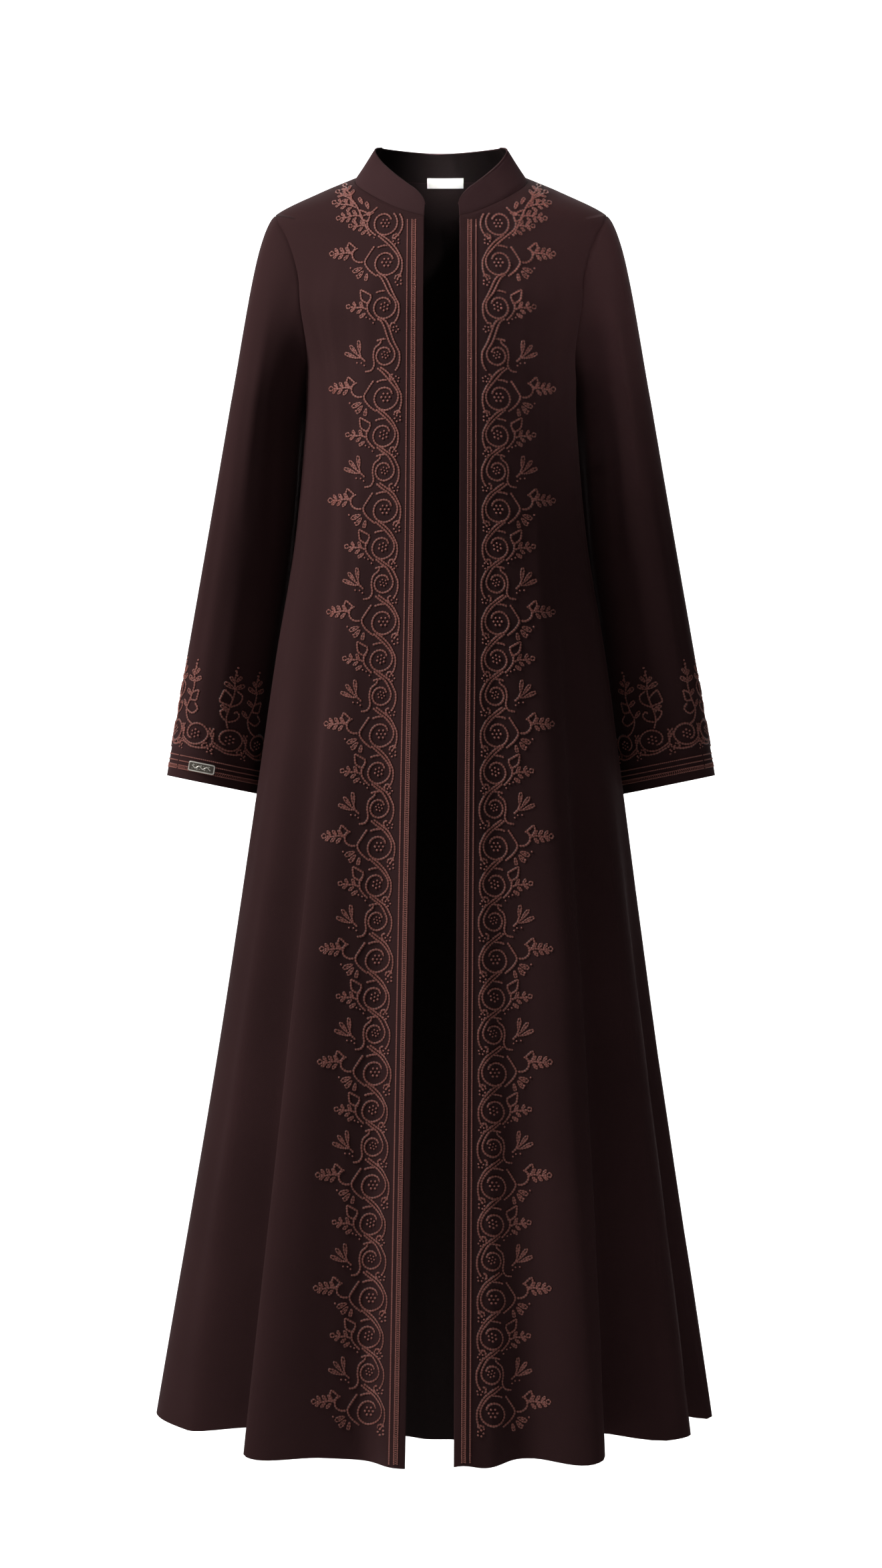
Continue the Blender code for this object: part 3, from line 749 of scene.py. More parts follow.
def grid_normals(points, turns_close):
    """Unit normals of a grid of points. With turns_close its columns close round on themselves."""
    down = np.gradient(points, axis=0)
    if turns_close:
        across = np.roll(points, -1, axis=1) - np.roll(points, 1, axis=1)
    else:
        across = np.gradient(points, axis=1)
    return unit(np.cross(across, down))


def sleeve_crease(side, turns, places):
    rise = np.zeros(np.broadcast(turns, places).shape)
    for own_side, *row in SLEEVE_DRAPES:
        if own_side == side:
            rise += crease(turns, places, row)
    return rise


def sleeve_sheet(side):
    """The outer and inner faces of a sleeve, and its cloth coordinates."""
    turns = np.linspace(0.0, 360.0, SLEEVE_TURN_STEPS + 1)[:-1]
    outer = sleeve_rings(side, turns)
    near_underarm = bell((outer[..., 2] - UNDERARM_HEIGHT) / UNDERARM_TUCK_REACH)
    outer[..., 0] -= side * UNDERARM_TUCK * under_share(turns) * near_underarm
    outer[..., 0] -= side * ARMHOLE_TUCK * bell(run_lengths(outer, 0) / ARMHOLE_TUCK_REACH)
    outward = side * grid_normals(outer, turns_close=True)
    over_shoulder = np.clip(np.cos(np.radians(turns)), 0.0, 1.0)[:, None]
    seam_outward = armhole_ring(side, turns, body_normal)
    outward[0] = unit(outward[0] + over_shoulder * (seam_outward - outward[0]))
    down = run_lengths(outer, 0)
    places = down / down[-1]
    lift = sleeve_crease(side, turns[None, :], places) - seam_dip(down, outer[..., 2])
    inner_lift = np.minimum(lift, 0.0) * (places > CREASED_INSIDE_FROM)
    inner = outer + (inner_lift - CLOTH_THICKNESS)[..., None] * outward
    raised = outer + lift[..., None] * outward
    around = run_lengths(closed_round(raised), 1)
    return raised, inner, np.stack([around, -closed_round(down)], axis=-1)


def neck_line():
    """The neck edge of the body, from the left front round the back to the right front."""
    lines = []
    for side, face in ((-1.0, "front"), (-1.0, "back"), (1.0, "back"), (1.0, "front")):
        start = inner_angle(side, face, np.array(-FRONT_NECK_DROP))
        angles = np.linspace(start, side_angle(side, face, 0.0), NECK_STEPS)
        line = body_point(angles, neck_height(angles))
        runs_onward = (face == "front") == (side < 0.0)
        lines.append(line if runs_onward else line[::-1])
    return resampled(np.concatenate([lines[0], *(line[1:] for line in lines[1:])]), COLLAR_STEP)


def resampled(points, step):
    """The line again with points an even step apart."""
    run = run_lengths(points, 0)
    count = max(2, int(round(run[-1] / step)) + 1)
    at = np.linspace(0.0, run[-1], count)
    return np.stack([np.interp(at, run, points[:, k]) for k in range(points.shape[1])], axis=1)


def corner_cut(distance):
    """How much the rounded end takes off the collar's width, this far from the end."""
    inside = np.clip(1.0 - distance / COLLAR_CORNER_RUN, 0.0, 1.0)
    return COLLAR_CORNER_CUT * (1.0 - np.sqrt(1.0 - inside**2))


def with_close_ends(line):
    """The line with more points near each end, where the collar's corners turn."""
    shares = np.array(COLLAR_END_DISTANCES)[:, None] / COLLAR_STEP
    low = line[0] + (line[1] - line[0]) * shares
    high = line[-1] + (line[-2] - line[-1]) * shares[::-1]
    return np.concatenate([line[:1], low, line[1:-1], high, line[-1:]])


def collar_sheet():
    """The outer and inner faces of the stand collar, and its cloth coordinates."""
    base = with_close_ends(neck_line())
    run = run_lengths(base, 0)
    from_end = np.minimum(run, run[-1] - run)

    along = unit(np.gradient(base, run, axis=0))
    inward = np.array([0.0, NECK_CENTRE_Y, 0.0]) - base
    inward[:, 2] = 0.0
    inward = unit(inward)
    toward_side = inward[:, :1] ** 2
    at_front = inward[:, 1:2] > 0.0
    end_lean = np.where(at_front, COLLAR_LEAN_FRONT, COLLAR_LEAN_BACK)
    lean = np.radians(end_lean + (COLLAR_LEAN_SIDE - end_lean) * toward_side)
    upward = np.array([0.0, 0.0, 1.0]) * np.cos(lean) + inward * np.sin(lean)
    square_to_seam = np.clip(from_end / COLLAR_UPRIGHT_RUN, 0.0, 1.0)[:, None]
    raised = unit(upward - square_to_seam * along * np.sum(upward * along, axis=1, keepdims=True))
    end_width = np.where(at_front, COLLAR_FRONT_WIDTH, COLLAR_BACK_WIDTH)
    width = end_width + (COLLAR_SIDE_WIDTH - end_width) * toward_side
    width = width - corner_cut(from_end)[:, None]

    share = np.array(COLLAR_ROWS)[:, None, None]
    toward_front = np.clip(2.0 * inward[:, 1:2], 0.0, 1.0)
    gap = COLLAR_BACK_GAP + (COLLAR_FRONT_GAP - COLLAR_BACK_GAP) * toward_front
    outer = base + raised * (gap + share * (width - gap))
    outward = unit(np.cross(raised, along))
    above_seam = share * width
    dip = seam_dip(above_seam, 0.0) + groove((1.0 - share) * width, *COLLAR_STITCH)
    inner = outer - COLLAR_THICKNESS * outward
    coordinates = np.stack(np.broadcast_arrays(run[None, :], above_seam[..., 0]), axis=-1)
    return outer - dip * outward, inner, coordinates


def rim_directions(grid, turns_close):
    """Where the cloth would run on past each border point."""
    out = np.zeros_like(grid)
    out[0] += unit(grid[0] - grid[1])
    out[-1] += unit(grid[-1] - grid[-2])
    if not turns_close:
        out[:, 0] += unit(grid[:, 0] - grid[:, 1])
        out[:, -1] += unit(grid[:, -1] - grid[:, -2])
    length = np.linalg.norm(out, axis=-1, keepdims=True)
    return out / np.where(length > 0.0, length, 1.0)


def shell(name, outer, inner, coordinates, materials, turns_close=False):
    """A closed thin shell with rounded rims. materials are those of its outer and inner face."""
    rows, columns = outer.shape[:2]
    count = rows * columns
    half_thickness = 0.5 * np.linalg.norm(outer - inner, axis=-1, keepdims=True)
    middle = 0.5 * (outer + inner)
    middle = middle + RIM_BULGE * half_thickness * rim_directions(outer, turns_close)
    points = np.concatenate([grid.reshape(-1, 3) for grid in (outer, inner, middle)])
    index = np.arange(count).reshape(rows, columns)
    if turns_close:
        index = closed_round(index)
        borders = [(0, slice(None)), (-1, slice(None, None, -1))]
    else:
        loop = [(0, k) for k in range(columns)]
        loop += [(k, columns - 1) for k in range(1, rows)]
        loop += [(rows - 1, k) for k in range(columns - 2, -1, -1)]
        loop += [(k, 0) for k in range(rows - 2, -1, -1)]
        borders = [tuple(np.array(loop).T)]

    faces, uv = [cells(index)], [cells(coordinates)]
    faces.append(faces[0][:, TURNED_OVER] + count)
    uv.append(uv[0][:, TURNED_OVER])
    slots = np.repeat([0, len(materials) - 1], len(faces[0]))
    for border in borders:
        # Two bands of faces, over the row of points in the middle of the wall
        faces.append(cells(index[border][:, None] + np.array([0, 2 * count, count])))
        uv.append(cells(np.repeat(coordinates[border][:, None], 3, axis=1)))
    used, faces = np.unique(np.concatenate(faces), return_inverse=True)
    points, faces, uv = points[used], faces.reshape(-1, 4), np.concatenate(uv)
    if signed_volume(points, faces) < 0.0:
        faces, uv = faces[:, ::-1], uv[:, ::-1]
    made = mesh_object(name, points, faces, uv, materials)
    slots = np.concatenate([slots, np.zeros(len(faces) - len(slots), int)])
    made.data.polygons.foreach_set("material_index", slots)
    return made


def signed_volume(points, faces):
    a, b, c, d = (points[faces[:, k]] for k in range(4))
    return np.sum(np.cross(b, c) * a) + np.sum(np.cross(c, d) * a)


def linked(name, data):
    """A new object in the scene."""
    made = bpy.data.objects.new(name, data)
    bpy.context.scene.collection.objects.link(made)
    return made


def mesh_object(name, points, faces, uv, materials):
    """An object from points in millimetres and faces of four corners each."""
    mesh = bpy.data.meshes.new(name)
    mesh.vertices.add(len(points))
    mesh.vertices.foreach_set("co", (np.asarray(points) * MM).ravel())
    mesh.loops.add(faces.size)
    mesh.loops.foreach_set("vertex_index", faces.ravel().astype(np.int32))
    mesh.polygons.add(len(faces))
    mesh.polygons.foreach_set("loop_start", np.arange(0, faces.size, 4, dtype=np.int32))
    mesh.update(calc_edges=True)
    layer = mesh.uv_layers.new(name="cloth")
    layer.data.foreach_set("uv", (np.asarray(uv) * MM).ravel().astype(np.float32))
    for entry in materials:
        mesh.materials.append(entry)
    mesh.validate()
    mesh.shade_smooth()
    return linked(name, mesh)


def catmull(points, samples=10):
    """A smooth line through given points."""
    p = np.array(points, float)
    p = np.concatenate([2 * p[:1] - p[1:2], p, 2 * p[-1:] - p[-2:-1]])
    t = np.linspace(0.0, 1.0, samples, endpoint=False)[:, None]
    pieces = []
    for a, b, c, d in zip(p[:-3], p[1:-2], p[2:-1], p[3:]):
        bend, swing = 2 * a - 5 * b + 4 * c - d, 3 * b - a - 3 * c + d
        pieces.append(0.5 * (2 * b + (c - a) * t + bend * t**2 + swing * t**3))
    return np.concatenate([*pieces, p[-2:-1]])


class Needlework:
    """Strokes of thread on a panel, and then their mesh.

    A stroke's points are (away, down): away from the edge that the border follows, and on down it.
    """

    def __init__(self, on_cloth):
        self.on_cloth = on_cloth
        self.strokes = []

    def thread(self, line, radius=THREAD_RADIUS, step=STITCH_STEP):
        """A raised thread along a line, thick and thin by turns like a row of stitches."""
        sampled = resampled(np.asarray(line, float), step)
        if len(sampled) < 3:
            sampled = resampled(np.asarray(line, float), 0.5 * step)
        self.strokes.append((sampled, thread_mesh, radius))

    def mound(self, middle, heading, length, width, height):
        """A low mound of satin stitches, such as a leaf, or a knot where it is round."""
        ahead, aside = directions(heading)
        turns = np.linspace(0.0, 2.0 * np.pi, MOUND_SIDES, endpoint=False)
        rise = np.linspace(0.0, 0.5 * np.pi, MOUND_RINGS + 1)
        along = 0.5 * length * np.cos(rise)[:, None] * np.cos(turns)
        across = 0.5 * width * np.cos(rise)[:, None] * np.sin(turns)
        flat = np.asarray(middle) + along.reshape(-1, 1) * ahead + across.reshape(-1, 1) * aside
        lift = np.repeat(height * np.sin(rise), MOUND_SIDES)
        # The last ring is a single point
        kept = slice(MOUND_RINGS * MOUND_SIDES + 1)
        self.strokes.append((flat[kept], mound_mesh, (lift[kept], along.ravel()[kept])))

    def object(self, name, materials):
        """The mesh of all strokes."""
        flats = [flat for flat, _, _ in self.strokes]
        ends = np.cumsum([len(flat) for flat in flats])[:-1]
        on_cloth = (np.split(found, ends) for found in self.on_cloth(np.concatenate(flats)))
        parts = []
        count = 0
        for (_, mesh, details), centre, normal in zip(self.strokes, *on_cloth):
            points, faces, uv = mesh(centre, normal, details)
            parts.append((points, faces + count, uv))
            count += len(points)
        return mesh_object(name, *(np.concatenate(part) for part in zip(*parts)), materials)


class Place:
    """A place on the needlework, turned and scaled. Motifs are sewn there in their own size."""

    def __init__(self, work, away, down, heading=0.0, size=1.0):
        self.work = work
        self.origin = np.array([away, down], float)
        self.heading = heading
        self.size = size

    def points(self, points):
        ahead, aside = directions(self.heading)
        points = np.array(points, float) * self.size
        return self.origin + points[:, :1] * ahead + points[:, 1:] * aside

    def at(self, away, down, heading=0.0, size=1.0):
        """Another place, given from this one."""
        origin = self.points([(away, down)])[0]
        return Place(self.work, origin[0], origin[1], self.heading + heading, self.size * size)

    def thread(self, points, radius=THREAD_RADIUS):
        self.work.thread(self.points(points), radius)

    def curve(self, points, samples):
        self.thread(catmull(points, samples))

    def knot(self, away, down, radius=KNOT_RADIUS):
        width = 2.0 * radius * self.size
        self.work.mound(self.points([(away, down)])[0], 0.0, width, width, 0.9 * radius)


def thread_mesh(centre, normal, radius):
    """A thread's points, faces and texture coordinates, along its centre line on the cloth."""
    along = unit(np.gradient(centre, axis=0))
    across = unit(np.cross(along, normal))
    raised = np.cross(across, along)
    count = len(centre)
    size = radius * np.resize(STITCH_SHAPE, count)
    size[0] = size[-1] = THREAD_END_SIZE * radius
    sideways, upward = np.array(THREAD_SECTION).T
    ring = sideways[:, None] * across[:, None] + upward[:, None] * raised[:, None]
    points = (centre + THREAD_LIFT * normal)[:, None] + size[:, None, None] * ring
    index = np.arange(count * THREAD_SIDES).reshape(count, THREAD_SIDES)
    run = np.arange(count) * STITCH_STEP
    # Round the section the feet sit at 0.4 and 0.6, where the thread's colour is painted dark as
    # shade
    share = np.arange(THREAD_SIDES + 1) / THREAD_SIDES
    uv = np.stack(np.meshgrid(run, share, indexing="ij"), axis=-1)
    return points.reshape(-1, 3), cells(closed_round(index)), cells(uv)


def mound_mesh(base, normal, shape):
    """A mound's points, faces and texture coordinates, from the cloth under it."""
    lift, along = shape
    points = base + normal * (lift + MOUND_LIFT)[:, None]
    index = np.arange(MOUND_RINGS * MOUND_SIDES).reshape(MOUND_RINGS, MOUND_SIDES)
    last = index[-1]
    top = np.full(MOUND_SIDES // 2, index.size)
    cap = np.stack([last[::2], last[1::2], np.roll(last[::2], -1), top], axis=-1)
    faces = np.concatenate([cells(closed_round(index))[:, TURNED_OVER], cap])
    # The second coordinate runs from 0.5 at the mound's foot, painted dark as shade, to 0 at its
    # top
    uv = np.stack([0.4 * along + 0.5 * STITCH_LENGTH, 0.5 - 0.5 * lift / lift.max()], axis=-1)
    return points, faces, uv[faces]


def front_mapper(side):
    """Turns (away from the front edge, depth) into points and normals on that front.

    They are looked up in a grid of the front, laid out by distance from the edge and by height.
    """
    heights = np.arange(FRONT_HEM_HEIGHT - MAP_BELOW_HEM, 0.0, MAP_ROW_STEP)
    aways = np.arange(MAP_START, MAP_REACH, MAP_COLUMN_STEP)
    angles = np.arange(MAP_ANGLE_STEP, MAP_LAST_ANGLE, MAP_ANGLE_STEP)
    across = np.abs(body_point(side * angles[None, :], heights[:, None])[..., 0])
    across = np.maximum.accumulate(across, axis=1)
    wanted = (side * front_edge_x(side, heights))[:, None] + aways[None, :]
    angle = side * np.array([np.interp(row, known, angles) for row, known in zip(wanted, across)])
    height = np.broadcast_to(heights[:, None], angle.shape)
    grid = np.concatenate([body_point(angle, height), body_normal(angle, height)], axis=-1)

    def on_cloth(flat):
        column = np.clip((flat[:, 0] - aways[0]) / MAP_COLUMN_STEP, 0.0, len(aways) - 1.001)
        row = np.clip((-flat[:, 1] - heights[0]) / MAP_ROW_STEP, 0.0, len(heights) - 1.001)
        i, j = row.astype(int), column.astype(int)
        down, over = (row - i)[:, None], (column - j)[:, None]
        near = grid[i, j] * (1.0 - over) + grid[i, j + 1] * over
        far = grid[i + 1, j] * (1.0 - over) + grid[i + 1, j + 1] * over
        found = near * (1.0 - down) + far * down
        return found[:, :3], unit(found[:, 3:])

    return on_cloth


def cuff_mapper(side, start_turn):
    """Turns (above the cuff's edge, round the sleeve) into points and normals on a sleeve."""
    turns = np.linspace(0.0, 360.0, 361)
    ring = run_lengths(sleeve_ring(side, turns, CUFF_GIRTH_PLACE), 0)

    def on_cloth(flat):
        above, around = flat[:, 0], flat[:, 1]
        rounds = np.floor(around / ring[-1])
        turn = start_turn + np.interp(around % ring[-1], ring, turns) + 360.0 * rounds
        point, normal = sleeve_place(side, turn, 1.0 - above / SLEEVE_LENGTH)
        share = np.clip(1.0 - above / CREASE_LENGTH, 0.0, 1.0)
        return point + sleeve_crease(side, turn % 360.0, share)[:, None] * normal, normal

    return on_cloth, ring[-1]


def arc(radii, start, end, samples=24):
    """A curve round a motif's middle, whose radius eases through a list.

    A heading of 0 degrees is away from the border's edge and 90 degrees is on down the border.
    """
    share = np.linspace(0.0, 1.0, samples)
    radius = np.interp(share, np.linspace(0.0, 1.0, len(radii)), radii)
    turn = np.radians(start + (end - start) * share)
    return np.stack([radius * np.cos(turn), radius * np.sin(turn)], axis=1)


def leaf(place, length, width=0.36):
    """A drawn-out loop of thread with a low filling."""
    turn = np.linspace(0.0, 2.0 * np.pi, 15)
    along = 0.5 * length * (1.0 - np.cos(turn))
    across = 0.65 * width * length * np.sin(turn) * np.sin(0.5 * turn)
    place.thread(np.stack([along, across], axis=1), LEAF_RADIUS)
    middle = place.points([(0.56 * length, 0.0)])[0]
    filling = 0.5 * place.size * length
    place.work.mound(middle, place.heading, filling, width * filling, LEAF_FILLING_HEIGHT)


def pointed_leaf(place, length, width):
    """A large leaf in outline, with a kink on its upper side."""
    for shape in (((0.34, -0.62), (0.62, -0.42)), ((0.4, 0.38), (0.75, 0.22))):
        place.curve(np.array([(0, 0), *shape, (1, 0)]) * (length, width), 5)


def tip_ring(place, radius=2.3):
    place.thread(arc((radius, radius), 180.0, -170.0, 12), LEAF_RADIUS)


def knots(place, table):
    for away, down in table:
        place.knot(away, down)


def leaves(place, table):
    """Leaves of a place: away, down, heading, length."""
    for away, down, heading, length in table:
        leaf(place.at(away, down, heading), length)


def knot_ring(place, reach, radii):
    for k, radius in enumerate(radii):
        turn = 2.0 * math.pi * k / len(radii)
        place.knot(reach * math.cos(turn), reach * math.sin(turn), radius)


def flower(place):
    """Knots round a middle one."""
    place.knot(0.0, 0.0, 1.4)
    knot_ring(place, 4.3, (1.7, 1.65, 1.6, 1.55, 1.5, 1.45))


def berries(place):
    """A ring of knots with a curl of thread beside it."""
    knot_ring(place, 3.3, (1.5,) * 5)
    place.thread([(-3.4, -6.0), (-0.6, -8.6), (3.2, -7.2), (4.2, -3.6)])


def leafy_stalk(place, reach, pairs):
    """A stalk that ends in a ring, with paired leaves along it."""
    place.curve([(0, 0), (0.35 * reach, -1.2), (0.7 * reach, 0.3), (reach, 0)], 6)
    tip_ring(place.at(reach + 2.6, 0.0))
    for k in range(pairs):
        share = (k + 0.6) / (pairs + 0.4)
        length = 8.2 - 2.6 * share
        leaf(place.at(share * reach, -0.8, -58.0 + 14.0 * share), length)
        leaf(place.at(share * reach + 1.2, 0.8, 54.0 - 12.0 * share), 0.9 * length)


def fan(place):
    """Three long leaves that spread from a knotted stalk."""
    place.thread([(0, 2), (3, -1), (6, -4)])
    for away, down, heading, length in (
        (6.5, -8, -84, 14.5),
        (9, -6, -52, 14),
        (10, -2.5, -24, 15),
    ):
        leaf(place.at(away, down, heading), length, 0.24)
        place.thread([(5, -3), (0.5 * (5 + away), 0.5 * (down - 3)), (away, down)])
    knots(place, ((4.5, 3.4), (1.2, 6.2), (9.5, 3.0)))


def ring_sprig(place):
    """A large pointed leaf, a short leafy stalk with a ring at its tip, and knots below."""
    place.curve([(-9, 13), (-4.5, 8.5), (0, 2), (0.5, -5), (-1, -10)], 6)
    pointed_leaf(place.at(-0.5, -6, -62.0), 19.0, 11.0)
    leafy_stalk(place.at(1, 0, -10.0), 19.0, 2)
    leaf(place.at(2.5, 4.5, 34.0), 8.0)
    knots(place, ((-2.4, 11.0), (1.6, 9.2), (-6.2, 15.6)))


def hooked_sprig(place):
    """A stem that swings out and hooks back, with a long stalk and small leaves outside it."""
    place.curve([(-9.5, -17), (-3.5, -8), (0.5, 0), (-3.5, 8), (-12, 15.5)], 6)
    place.at(4.5, -8.5).thread(arc((8.5, 9.0, 9.5, 9.0, 7.5), 105.0, -62.0, 20))
    leafy_stalk(place.at(13, -9, -3.0), 20.0, 3)
    pointed_leaf(place.at(15, -10, -78.0), 12.0, 8.0)
    leaves(place, ((3, 6, 22, 11), (2, 9, 52, 10), (-2, 12, 78, 8)))
    knots(place, ((9.0, 14.5), (15.5, 6.0)))


def scroll_unit(place, spacing, kind):
    """A spiral round a flower, the doubled stem that leads into it, and the berries beside it."""
    back = spacing / place.size
    small = (1.0, 1.0, 0.84)[kind]
    lead = [(9.5, 13.2 - back), (3.2, 18.6 - back), (-4.6 * small, -16.4)]
    radii = np.array((13.6, 12.6, 12.4, 13.6, 13.0, 11.6, 11.0, 10.0, 7.4))
    curl = arc(radii * small, 214.0, -152.0, 34)
    place.curve(np.concatenate([lead, curl[::3], curl[-1:]]), 4)
    outer_lead = [(6.4, 12.4 - back), (-1.8, 18.4 - back), (-9.6, -15.6)]
    outer = arc((16.0, 16.2, 17.2, 19.0, 21.0), 196.0, 122.0, 8)
    place.curve(np.concatenate([outer_lead, outer]), 4)
    place.thread(arc((19.0, 18.4), -58.0, -92.0, 6))
    flower(place.at(0.3, -0.3, 22.0 * kind, small))
    berries(place.at(-12.6, 21.4 + 0.5 * (back - USUAL_SPACING), 30.0 * kind, 0.95))


def border_unit(place, spacing, kind):
    """A spiral of a front border with its sprig, of one of three kinds."""
    scroll_unit(place, spacing, kind)
    if kind == 0:
        hooked_sprig(place.at(22.5, -1.0))
    elif kind == 1:
        ring_sprig(place.at(19.0, 2.5))
    else:
        stem = [(4.5, -19), (6, -13.5), (11.8, -8), (13.6, 1), (12.6, 10.5), (16, 17), (23, 18.4)]
        place.curve(stem, 5)
        fan(place.at(22.5, 5.0))


def link_row(work, line, width):
    """A row of chain stitches, as small mounds that overlap."""
    line = resampled(np.asarray(line, float), LINK_PITCH)
    ahead = np.gradient(line, axis=0)
    for middle, step in zip(line[1:-1], ahead[1:-1]):
        heading = math.degrees(math.atan2(step[1], step[0]))
        work.mound(middle, heading, LINK_OVERLAP * LINK_PITCH, width, LINK_HEIGHT)


def cross_row(work, away_low, away_high, start, end):
    """Small stitches across the space between two rows."""
    count = int(abs(end - start) / CROSS_PITCH)
    for k in range(count):
        at = start + (end - start) * (k + 0.5) / count
        stitch = [(away_low, at - CROSS_SLANT), (away_high, at + CROSS_SLANT)]
        work.thread(stitch, CROSS_RADIUS, 0.5 * (away_high - away_low))


def front_border(side, name, materials):
    """The braid lines and the scroll border of one front, as two objects."""
    on_cloth = front_mapper(side)
    top = FRONT_NECK_DROP + BRAID_INSET
    hem_angle = inner_angle(side, "front", np.array(FRONT_HEM_HEIGHT))
    low = -float(hem_height(hem_angle)) - 2.0 * BRAID_INSET

    braid = Needlework(on_cloth)
    for away, width in BRAID_ROWS:
        link_row(braid, [(away, top), (away, low)], width)
    cross_row(braid, *BRAID_CROSS, top + BRAID_INSET, low - BRAID_INSET)

    scroll = Needlework(on_cloth)
    first = Place(scroll, SCROLL_FROM_EDGE + 1.0, SCROLL_TOP)
    first.thread(arc((19.5, 20.0, 20.5), 215.0, 112.0))
    first.thread(arc((15.0, 13.6, 13.2, 14.0, 12.4, 11.6, 10.6, 8.0), 232.0, -150.0, 34))
    flower(first)
    berries(first.at(-12.6, 21.4))
    ring_sprig(first.at(19.5, 3.5, 6.0, 0.9))
    k, down, spacing = 0, SCROLL_TOP, TOP_SPACINGS[0]
    while down + spacing <= SCROLL_LOW:
        down += spacing
        kind = k % 3
        sway = SCROLL_SWAY * math.sin(SCROLL_SWAY_TURN * k + side)
        size = (1.08, 1.0, 1.0)[kind]
        border_unit(Place(scroll, SCROLL_FROM_EDGE + sway, down, 0.0, size), spacing, kind)
        k += 1
        spacing = TOP_SPACINGS[k] if k < len(TOP_SPACINGS) else SPACINGS[k % 3]
    top_spray(scroll)
    return braid.object(f"braid_{name}", materials), scroll.object(f"scroll_{name}", materials)


def top_spray(scroll):
    """Leafy stalks that spread from the border's top towards the shoulder."""
    scroll.thread(catmull([(60, 76), (66, 62), (71, 50), (77, 38), (84, 29)]))
    scroll.thread(catmull([(52, 42), (60, 49), (69, 52)]))
    for away, down, heading, reach, pairs in (
        (82, 31, -66.0, 17.0, 2),
        (80, 35, -38.0, 20.0, 2),
        (76, 42, -16.0, 24.0, 3),
        (71, 52, 4.0, 23.0, 3),
    ):
        leafy_stalk(Place(scroll, away, down, heading), reach, pairs)
    leaves(Place(scroll, 0, 0), ((62, 44, -70, 9), (69, 38, -62, 9), (56, 48, 16, 9)))


def cuff_border(side, name, materials):
    """The scroll border and the lines round one cuff."""
    on_cloth, girth = cuff_mapper(side, CUFF_START_TURN)
    work = Needlework(on_cloth)
    for above, width in CUFF_ROWS:
        link_row(work, [(above, 0.0), (above, girth)], width)
    cross_row(work, *CUFF_CROSS, 0.0, girth)
    spacing = girth / CUFF_SPIRALS
    for k in range(CUFF_SPIRALS):
        place = Place(work, CUFF_SCROLL_ABOVE, (k + 0.5) * spacing, 0.0, CUFF_UNIT_SIZE)
        scroll_unit(place, spacing, 0)
        knots(place, ((-19.0, 15.0), (-20.0, 19.5), (-17.0, 18.0)))
        if k % 2 == 1:
            budded_stalk(place.at(13.0, -4.0, 0.0, CUFF_STALK_SIZE))
        else:
            swung_stalk(place.at(10.0, -6.0, 0.0, CUFF_STALK_SIZE))
    return work.object(f"cuff_scroll_{name}", materials)


def stalk_tip(place):
    """Paired leaves under a short row of knots."""
    leaves(place, ((0, 0, -64, 9), (0, 0, 58, 9), (5, -0.4, -38, 6.5), (6.5, 0.6, 34, 6.5)))
    knots(place, ((12.5, 0.4), (16.0, -0.8), (19.2, 0.2)))


def budded_stalk(place):
    """An upright stalk: curls at its foot, a kinked bud in the middle, a leafy tip."""
    place.curve([(0, 0), (9, -2.4), (20, -1.2), (33, 0.8), (45, -0.6), (54, 0)], 6)
    for turn in (-1.0, 1.0):
        curl = [(6, -1), (9, 5 * turn), (14, 7.5 * turn), (17, 4.5 * turn), (14.5, 3 * turn)]
        place.curve(curl, 5)
    pointed_leaf(place.at(21.0, -1.0, -24.0), 15.0, 10.0)
    place.curve([(20, -1), (25, 6), (32, 7.5), (36, 2)], 5)
    leaf(place.at(17.0, -1.5, -66.0), 7.0)
    stalk_tip(place.at(37.0, 0.2))


def swung_stalk(place):
    """A stalk that swings out from the spiral before it climbs, with a leaf in its bend."""
    place.curve([(0, 0), (4, -6), (13, -10), (24, -7), (35, -5), (46, -7), (56, -6)], 6)
    place.curve([(13, -10), (10, -2), (15, 3), (20, -1)], 5)
    pointed_leaf(place.at(22.0, -7.0, 40.0), 13.0, -8.0)
    leaves(place, ((15, -10.5, -44, 8), (26, -6, -54, 8.5)))
    stalk_tip(place.at(39.0, -6.0))


